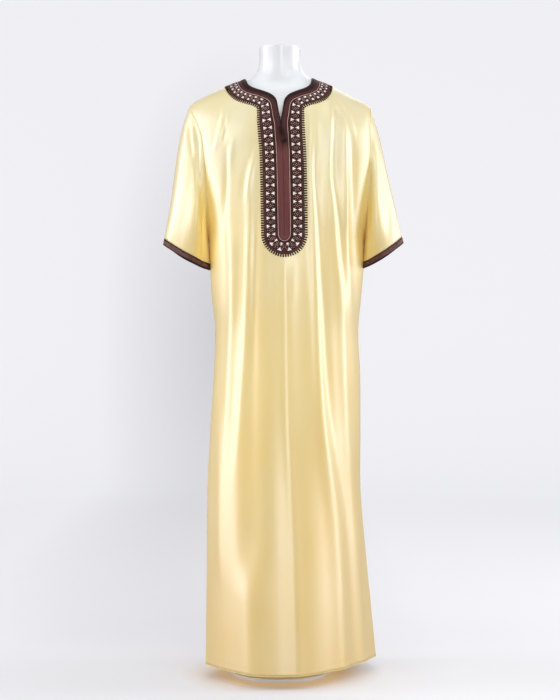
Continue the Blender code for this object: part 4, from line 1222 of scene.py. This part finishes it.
def pad(onBand, middle, gap, way):  # a cream corner pad between two rings, its hollow sides along them
    rows, columns = motif["pads"], np.linspace(-1, 1, motif["padColumns"])
    slim = ease((gap - motif["slimFrom"]) / motif["slimFade"])
    asides = rows["aside"] + (rows["slimAside"] - rows["aside"]) * slim
    along = middle + (gap * (rows["half"] + (rows["slimHalf"] - rows["half"]) * slim))[:, None] * columns
    aside = np.broadcast_to((way * asides)[:, None], along.shape)
    rounded = (1 - columns**2)[None, :] * np.sin(math.pi * np.linspace(0.12, 0.88, len(asides)))[:, None]
    rise = motif["padEdge"] + motif["padRise"] * rounded
    top, under = (onBand(along.ravel(), aside.ravel(), lift)[0] for lift in (rise.ravel(), motif["padLow"]))
    faces = gridFaces(*along.shape) + gridFaces(*along.shape, along.size, flip=True)
    corners = np.arange(along.size).reshape(along.shape)
    rim = np.concatenate([corners[:, 0], corners[-1, 1:], corners[-2::-1, -1], corners[0, -2:0:-1]])
    beside = np.roll(rim, -1)
    faces += np.stack([rim, beside, beside + along.size, rim + along.size], -1).tolist()
    return np.concatenate([top, under]), faces


motifRings, creamPads, motifDots = makeMotifs()

teeth = {
    "middle": 6.5,
    "pitch": 0.0058,
    "half": 0.0018,
    "flat": 0.6,
    "rows": table(
        "zone lift width",
        (5.8, 0.0009, 0.9), (6.3, 0.0008, 1.0), (6.8, 0.0007, 1.0),
        (7.15, 0.0006, 0.9), (7.25, 0.0005, 0.5),
    ),
}


def makeTeeth():
    sheets, (zones, lift, width) = Sheets(), teeth["rows"].values()
    for hand in (-1, 1):
        station, distance = lengthAlong(teeth["middle"], hand)
        skew = skewAt(station, distance, teeth["middle"], hand)
        count = round(distance[-1] / teeth["pitch"])
        for place in (np.arange(count) + 0.5) * distance[-1] / count:
            along = place - (zones - teeth["middle"]) * np.interp(place, distance, skew)
            stations = np.interp(along, distance, station)
            points, normals = onCloth(charts[hand], stations, zoneShare(stations, zones), lift)
            sheets.cord(points, normals, teeth["half"] * width, 6, (0.05, place), teeth["flat"])
    return sheets.piece("picotTeeth", motifThread)


picots = makeTeeth()
print("border made")


# The dress form, its pole and its base.

form = {
    "corners": 48,
    "rings": table(  # from the underside up; the last three round the neck's top edge
        "z half deep y",
        (0.7865, 0.118, 0.080, 0.005), (0.789, 0.134, 0.094, 0.005), (0.800, 0.1375, 0.0965, 0.005),
        (0.850, 0.1425, 0.1005, 0.004), (0.950, 0.1380, 0.0960, -0.001), (1.050, 0.1415, 0.0975, -0.003),
        (1.170, 0.1535, 0.1075, -0.003), (1.270, 0.1660, 0.1110, -0.002), (1.320, 0.1820, 0.1100, -0.002),
        (1.355, 0.1930, 0.1050, -0.002), (1.382, 0.1960, 0.0960, -0.001), (1.400, 0.1900, 0.0850, 0.001),
        (1.4150, 0.1690, 0.0740, 0.003), (1.4300, 0.1350, 0.0650, 0.004), (1.4430, 0.1020, 0.0600, 0.004),
        (1.4530, 0.0780, 0.0580, 0.003), (1.4640, 0.0620, 0.0565, 0.002), (1.4760, 0.0540, 0.0553, 0.000),
        (1.4900, 0.0511, 0.0543, -0.001), (1.5060, 0.0504, 0.0538, -0.003), (1.5200, 0.0510, 0.0542, -0.005),
        (1.5285, 0.0515, 0.0545, -0.006), (1.5312, 0.0510, 0.0540, -0.006), (1.5320, 0.0488, 0.0518, -0.006),
    ),
    "white": (0.76, 0.77, 0.79),
    "steel": (0.60, 0.61, 0.63),
    "paint": (0.80, 0.80, 0.80),
    "poleRadius": 0.0125,
    "poleGap": 0.0003,  # over the base
    "poleShort": 0.002,  # under the form
    "poleEdge": 0.0012,
    "collarRadius": 0.019,
    "collarHeight": 0.022,
    "collarEdge": 0.002,
    "baseRadius": 0.115,
    "baseThick": 0.008,
    "baseEdge": 0.0022,
    "baseInsets": (0.004, 0.072),
    "undersideInset": 0.02,
    "neckInsets": (0.006, 0.014),
}


def makeFormWhite():
    made = finishNamed("formWhite", form["white"], 0.3, **{"Coat Weight": 0.35, "Coat Roughness": 0.22})
    wires = Wiring(made)
    shell = wires.place("Object")
    peel = wires.noise(shell, 900, 1)
    slow = wires.noise(shell, 14, 2)
    wires.rough(wires.between(slow, 0.26, 0.38, 0.3, 0.7))
    wires.normal(wires.bump(peel, 0.03, 0.0003, wires.bump(slow, 0.04, 0.002)))
    return made


def makeSteel():
    made = finishNamed("brushedSteel", form["steel"], 0.3, Metallic=1.0, Anisotropic=0.5)
    wires = Wiring(made)
    lines = wires.noise(wires.place("Object", (300, 300, 6)), 3, 3)
    wires.rough(wires.between(lines, 0.22, 0.42))
    wires.normal(wires.bump(lines, 0.12, 0.0002))
    return made


def makePaint():
    made = finishNamed("paintedBase", form["paint"], 0.35, **{"Coat Weight": 0.2, "Coat Roughness": 0.2})
    wires = Wiring(made)
    grain = wires.noise(wires.place("Object"), 1400, 2)
    scuff = wires.noise(wires.place("Object"), 40, 4)
    wires.rough(wires.between(scuff, 0.28, 0.5, 0.4, 0.7))
    wires.normal(wires.bump(grain, 0.15, 0.0002))
    return made


def primitive(kind, name, finish, **sizes):
    if bpy.context.object and bpy.context.object.mode != "OBJECT":
        bpy.ops.object.mode_set(mode="OBJECT")
    bpy.ops.object.select_all(action="DESELECT")
    getattr(bpy.ops.mesh, f"primitive_{kind}_add")(**sizes)
    made = bpy.context.object
    made.name = made.data.name = name
    made.data.materials.append(finish)
    return made


def bevel(made, width, segments):
    only(made)
    edge = made.modifiers.new("edge", "BEVEL")
    edge.width = width
    edge.segments = segments
    edge.limit_method = "ANGLE"
    bpy.ops.object.modifier_apply(modifier=edge.name)


def settle(made, sharp=None):  # the place goes into the mesh
    only(made)
    bpy.ops.object.transform_apply(location=True, rotation=True, scale=True)
    if sharp is None:
        bpy.ops.object.shade_smooth()
    else:
        bpy.ops.object.shade_smooth_by_angle(angle=math.radians(sharp))
    return made


def ringUp(rings, first):  # extrude the selected edge through the rings, each a size and a place
    z, half, deep, y = first
    for ringZ, ringHalf, ringDeep, ringY in rings:
        bpy.ops.mesh.extrude_region_move(TRANSFORM_OT_translate={"value": (0, ringY - y, ringZ - z)})
        grown = (ringHalf / half, ringDeep / deep, 1)
        bpy.ops.transform.resize(value=grown, center_override=(0, ringY, ringZ))
        z, half, deep, y = ringZ, ringHalf, ringDeep, ringY


def makeTorso():
    rings = list(zip(*form["rings"].values()))
    z, half, deep, y = rings[0]
    sizes = {"vertices": form["corners"], "radius": 1, "fill_type": "NGON"}
    made = primitive("circle", "dressForm", makeFormWhite(), **sizes)
    bpy.ops.object.mode_set(mode="EDIT")
    bpy.ops.mesh.select_mode(type="EDGE")
    bpy.ops.mesh.select_all(action="SELECT")
    bpy.ops.transform.resize(value=(half, deep, 1))
    bpy.ops.transform.translate(value=(0, y, z))
    bpy.ops.mesh.inset(thickness=form["undersideInset"])
    bpy.ops.mesh.select_all(action="DESELECT")
    bpy.ops.mesh.select_non_manifold(extend=False)
    ringUp(rings[1:], rings[0])
    bpy.ops.mesh.edge_face_add()
    for inset in form["neckInsets"]:
        bpy.ops.mesh.inset(thickness=inset)
    bpy.ops.mesh.select_all(action="SELECT")
    bpy.ops.mesh.normals_make_consistent(inside=False)
    bpy.ops.object.mode_set(mode="OBJECT")
    rounded = made.modifiers.new("round", "SUBSURF")
    rounded.levels = 2
    bpy.ops.object.modifier_apply(modifier=rounded.name)
    return settle(made)


def makePole():
    steel = makeSteel()
    low, high = form["baseThick"] + form["poleGap"], form["rings"]["z"][0] - form["poleShort"]
    pieces = []
    for name, radius, top, edge in (
        ("pole", form["poleRadius"], high, form["poleEdge"]),
        ("poleCollar", form["collarRadius"], low + form["collarHeight"], form["collarEdge"]),
    ):
        sizes = {"vertices": 48, "radius": radius, "depth": top - low, "location": (0, 0, (top + low) / 2)}
        made = primitive("cylinder", name, steel, **sizes)
        bevel(made, edge, 3)
        pieces.append(settle(made, 40))
    return pieces


def makeBase():
    sizes = {"vertices": 96, "radius": form["baseRadius"], "depth": form["baseThick"]}
    made = primitive("cylinder", "standBase", makePaint(), location=(0, 0, form["baseThick"] / 2), **sizes)
    bpy.ops.object.mode_set(mode="EDIT")
    bpy.ops.mesh.select_mode(type="FACE")
    bpy.ops.mesh.select_all(action="DESELECT")
    soft = bmesh.from_edit_mesh(made.data)
    for face in soft.faces:
        face.select_set(face.normal.z > 0.9)
    bmesh.update_edit_mesh(made.data)
    for inset in form["baseInsets"]:
        bpy.ops.mesh.inset(thickness=inset)
    bpy.ops.object.mode_set(mode="OBJECT")
    bevel(made, form["baseEdge"], 4)
    return settle(made, 40)


torso = makeTorso()
pole, collar = makePole()
base = makeBase()
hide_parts("form_torso")
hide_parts("stand_pole")
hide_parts("stand_base")
print("dress form made")


# The knotted button and its loop.

knot = {
    "lean": 22,  # degrees
    "cord": 0.0015,
    "loopRun": 0.2265,
    "loopWide": 0.0056,
    "loopTall": 0.0135,
    "loopLift": 0.0032,
    "loopSizes": (1.0, 0.62),
    "ballAway": 0.0048,
    "ballRun": 0.2440,
    "ballRadius": 0.0076,
    "ballLift": 0.0072,
    "ballWave": 0.10,
}


def fasteningFrame(away, run, lift):  # a place over the braid, and the leaning axes across, along and out
    centre = byMiddle(away, run, 1, 1)
    down = unit(byMiddle(away, run + 0.01, 1, 1) - centre)
    out = unit(-np.cross((1, 0, 0), down))
    lean = math.radians(knot["lean"])
    across = np.array((1, 0, 0)) * math.cos(lean) - down * math.sin(lean)
    return centre + out * lift, across, np.cross(out, across), out


def makeKnot():  # a ball of three pairs of cord rings, each weaving over and under the others
    centre, *axes = fasteningFrame(knot["ballAway"], knot["ballRun"], knot["ballLift"])
    sheets = Sheets()
    turns = np.linspace(0, 2 * math.pi, 72, endpoint=False)[:, None]
    radius, wave = knot["ballRadius"] - knot["cord"], 1 + knot["ballWave"] * np.cos(4 * turns)
    for i in range(3):
        a, b, c = axes[i], axes[(i + 1) % 3], axes[(i + 2) % 3]
        for beside in (-1, 1):
            aside = beside * knot["cord"] * 1.05
            flat = np.sqrt(radius**2 - aside**2) * wave
            points = (np.cos(turns) * a + np.sin(turns) * b) * flat + aside * c
            sheets.cord(centre + points, unit(points), knot["cord"], 8, closed=True)
    return sheets.piece("knotBall", knotThread)


def makeLoop():  # a doubled cord round the ball, drawn from the other side of the slit
    centre, across, along, out = fasteningFrame(0.0, knot["loopRun"], knot["loopLift"])
    sheets = Sheets()
    turns = np.linspace(0, 2 * math.pi, 64, endpoint=False)[:, None]
    points = np.cos(turns) * across * knot["loopWide"] + np.sin(turns) * along * knot["loopTall"]
    for size in knot["loopSizes"]:
        sheets.cord(centre + points * size, out, knot["cord"], 8, closed=True)
    return sheets.piece("cordLoop", knotThread)


knotBall, cordLoop = makeKnot(), makeLoop()
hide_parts("knot")
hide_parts("knot_loop")
print("knot made")


# The camera, the light and the backdrop.

setting = {
    "lens": 83.96,
    "sensor": 36,
    "cameraPlace": (0, -4.0, 0.792),
    "worldColour": (0.95, 0.96, 1.0, 1),
    "worldStrength": 0.37,
    # Area lights: place, aim, size, watts and colour. satinGlow stands for light that passes the skirt.
    "lights": {
        "leftBox": ((-3.25, -0.1, 1.4), (0, 0, 0.85), (1.3, 3.0), 69, (1.0, 0.95, 1.02)),
        "rightBox": ((3.15, 0.1, 1.4), (0, 0, 0.85), (1.1, 2.8), 57, (1.0, 0.95, 1.02)),
        "frontStrip": ((0.65, -4.3, 1.2), (0, 0, 0.85), (0.55, 2.2), 46, white),
        "rightTopBox": ((0.95, -1.65, 2.05), (0.15, 0, 1.3), (0.7, 0.6), 6, (0.93, 1.0, 0.98)),
        "leftTopBox": ((-1.45, -1.10, 1.80), (-0.15, 0, 1.25), (0.6, 0.6), 5, (0.93, 1.0, 0.98)),
        "topBox": ((0.3, -1.6, 3.8), (0, 0, 1.2), (2.6, 1.4), 10, (0.93, 1.0, 0.98)),
        "lowBox": ((0, -2.6, 0.12), (0, 0, 0.5), (2.4, 0.5), 4, (1.0, 0.66, 0.44)),
        "shoulderBox": ((0, -0.75, 3.3), (0, 0, 1.4), (2.6, 0.7), 11, (0.98, 1.0, 1.0)),
        "rightRimBox": ((2.6, 1.7, 1.6), (0, 0, 1.2), (0.9, 0.8), 8, white),
        "satinGlow": ((0, -0.03, 0.028), (0, -0.03, 0), (0.27, 0.25), 0.06, (1.0, 0.62, 0.25)),
        "backBox": ((0.5, 3.0, 3.0), (0, 0, 0.9), (2.5, 2.0), 20, white),
    },
}


def makeCamera():
    data = bpy.data.cameras.new("camera")
    data.lens = setting["lens"]
    data.sensor_width = setting["sensor"]
    camera = bpy.data.objects.new("camera", data)
    camera.location = setting["cameraPlace"]
    camera.rotation_euler = (math.pi / 2, 0, 0)
    bpy.context.scene.collection.objects.link(camera)
    bpy.context.scene.camera = camera


def makeLight(name, place, aim, size, power, colour):
    data = bpy.data.lights.new(name, "AREA")
    data.shape = "RECTANGLE"
    data.size, data.size_y = size
    data.energy = power
    data.color = colour
    light = bpy.data.objects.new(name, data)
    light.location = place
    light.visible_camera = False
    light.rotation_euler = (Vector(aim) - Vector(place)).to_track_quat("-Z", "Y").to_euler()
    bpy.context.scene.collection.objects.link(light)


def makeWorld():
    world = bpy.data.worlds.new("world")
    world.use_nodes = True
    sky = world.node_tree.nodes["Background"]
    sky.inputs["Color"].default_value = setting["worldColour"]
    sky.inputs["Strength"].default_value = setting["worldStrength"]
    bpy.context.scene.world = world


makeCamera()
for name, values in setting["lights"].items():
    makeLight(name, *values)
makeWorld()
bpy.context.scene.view_settings.view_transform = "Standard"

backdrop = {
    "radius": 6.6,
    "curve": 1.2,
    "steps": 8,
    "height": 4.6,
    "colour": (0.50, 0.50, 0.515),
    "glow": (0.385, 0.635),  # of the floor and of the wall, at these distances from the origin
    "glowReach": (0.8, 5.2),
    "paper": (0.97, 0.97, 1.0),
    "paintedGoldenGlow": (1.0, 0.62, 0.25),  # painted glow: the amber light that the satin throws on the floor under it
    "paintedGoldenReach": (0.15, 0.25),
    # A painted shadow: the paper glows less in a soft upright oval, which the scale and the place set in x
    # and z.
    "shadeScale": (1.18, 0, 0.53),
    "shadePlace": (0.354, 0, -0.477),
    "shadeReach": (0.10, 1.0),
    "shadeGlow": 0.60,
}


def makePaper():
    made = finishNamed("palePaper", backdrop["colour"], 0.7)
    wires = Wiring(made)
    distance = wires.length(wires.place("Object"))
    # Painted glow: the paper's emission turns amber near the middle, under the hem.
    near, far = backdrop["paintedGoldenReach"]
    paintedGoldenGlow = wires.ramp(distance, (near, backdrop["paintedGoldenGlow"]), (far, backdrop["paper"]))
    wires.join(paintedGoldenGlow, wires.shader.inputs["Emission Color"])
    glow = wires.between(distance, *backdrop["glow"], *backdrop["glowReach"])
    # painted shadow: a soft oval where the paper glows less
    oval = wires.length(wires.place("Object", backdrop["shadeScale"], where=backdrop["shadePlace"]))
    shade = wires.between(oval, backdrop["shadeGlow"], 1, *backdrop["shadeReach"])
    wires.join(wires.math("MULTIPLY", glow, shade), wires.shader.inputs["Emission Strength"])
    wires.normal(wires.bump(wires.noise(wires.place("Object"), 60, 3), 0.05, 0.002))
    return made


def makeBackdrop():  # a round cyclorama with a curved foot, lit mostly by its own glow
    curve, floor = backdrop["curve"], backdrop["radius"] - backdrop["curve"]
    made = primitive("circle", "cyclorama", makePaper(), vertices=96, radius=floor, fill_type="NGON")
    bpy.ops.object.mode_set(mode="EDIT")
    bpy.ops.mesh.select_all(action="SELECT")
    bpy.ops.mesh.select_mode(type="EDGE")
    reach, step = floor, math.pi / 2 / backdrop["steps"]
    for i in range(backdrop["steps"]):
        wanted = floor + curve * math.sin((i + 1) * step)
        rise = curve * (math.cos(i * step) - math.cos((i + 1) * step))
        bpy.ops.mesh.extrude_region_move(TRANSFORM_OT_translate={"value": (0, 0, rise)})
        bpy.ops.transform.resize(value=(wanted / reach, wanted / reach, 1), center_override=(0, 0, 0))
        reach = wanted
    bpy.ops.mesh.extrude_region_move(TRANSFORM_OT_translate={"value": (0, 0, backdrop["height"])})
    bpy.ops.mesh.select_all(action="SELECT")
    bpy.ops.mesh.normals_make_consistent(inside=True)
    bpy.ops.object.mode_set(mode="OBJECT")
    made.data.shade_smooth()
    made.visible_diffuse = False
    made.visible_glossy = False


makeBackdrop()
print("camera, lights and backdrop made")

for made, slotName in (
    (frontSatin, "satin"), (backSatin, "satin"), (sleeveLeft, "satin"), (sleeveRight, "satin"),
    (seamLines, "satin"), (seamStitches, "satin"), (cuffStitches, "braid"),
    (cuffLeft, "braid"), (cuffRight, "braid"), (neckBraid, "braid"), (neckBorder, "embroidery"),
    (mauveCord, "embroidery"), (edgeCords, "embroidery"), (motifRings, "embroidery"),
    (creamPads, "embroidery"), (motifDots, "embroidery"), (picots, "embroidery"),
    (torso, "form"), (pole, "pole"), (collar, "pole"), (base, "base"),
    (knotBall, "braid"), (cordLoop, "braid"),
):
    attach(made, "root")
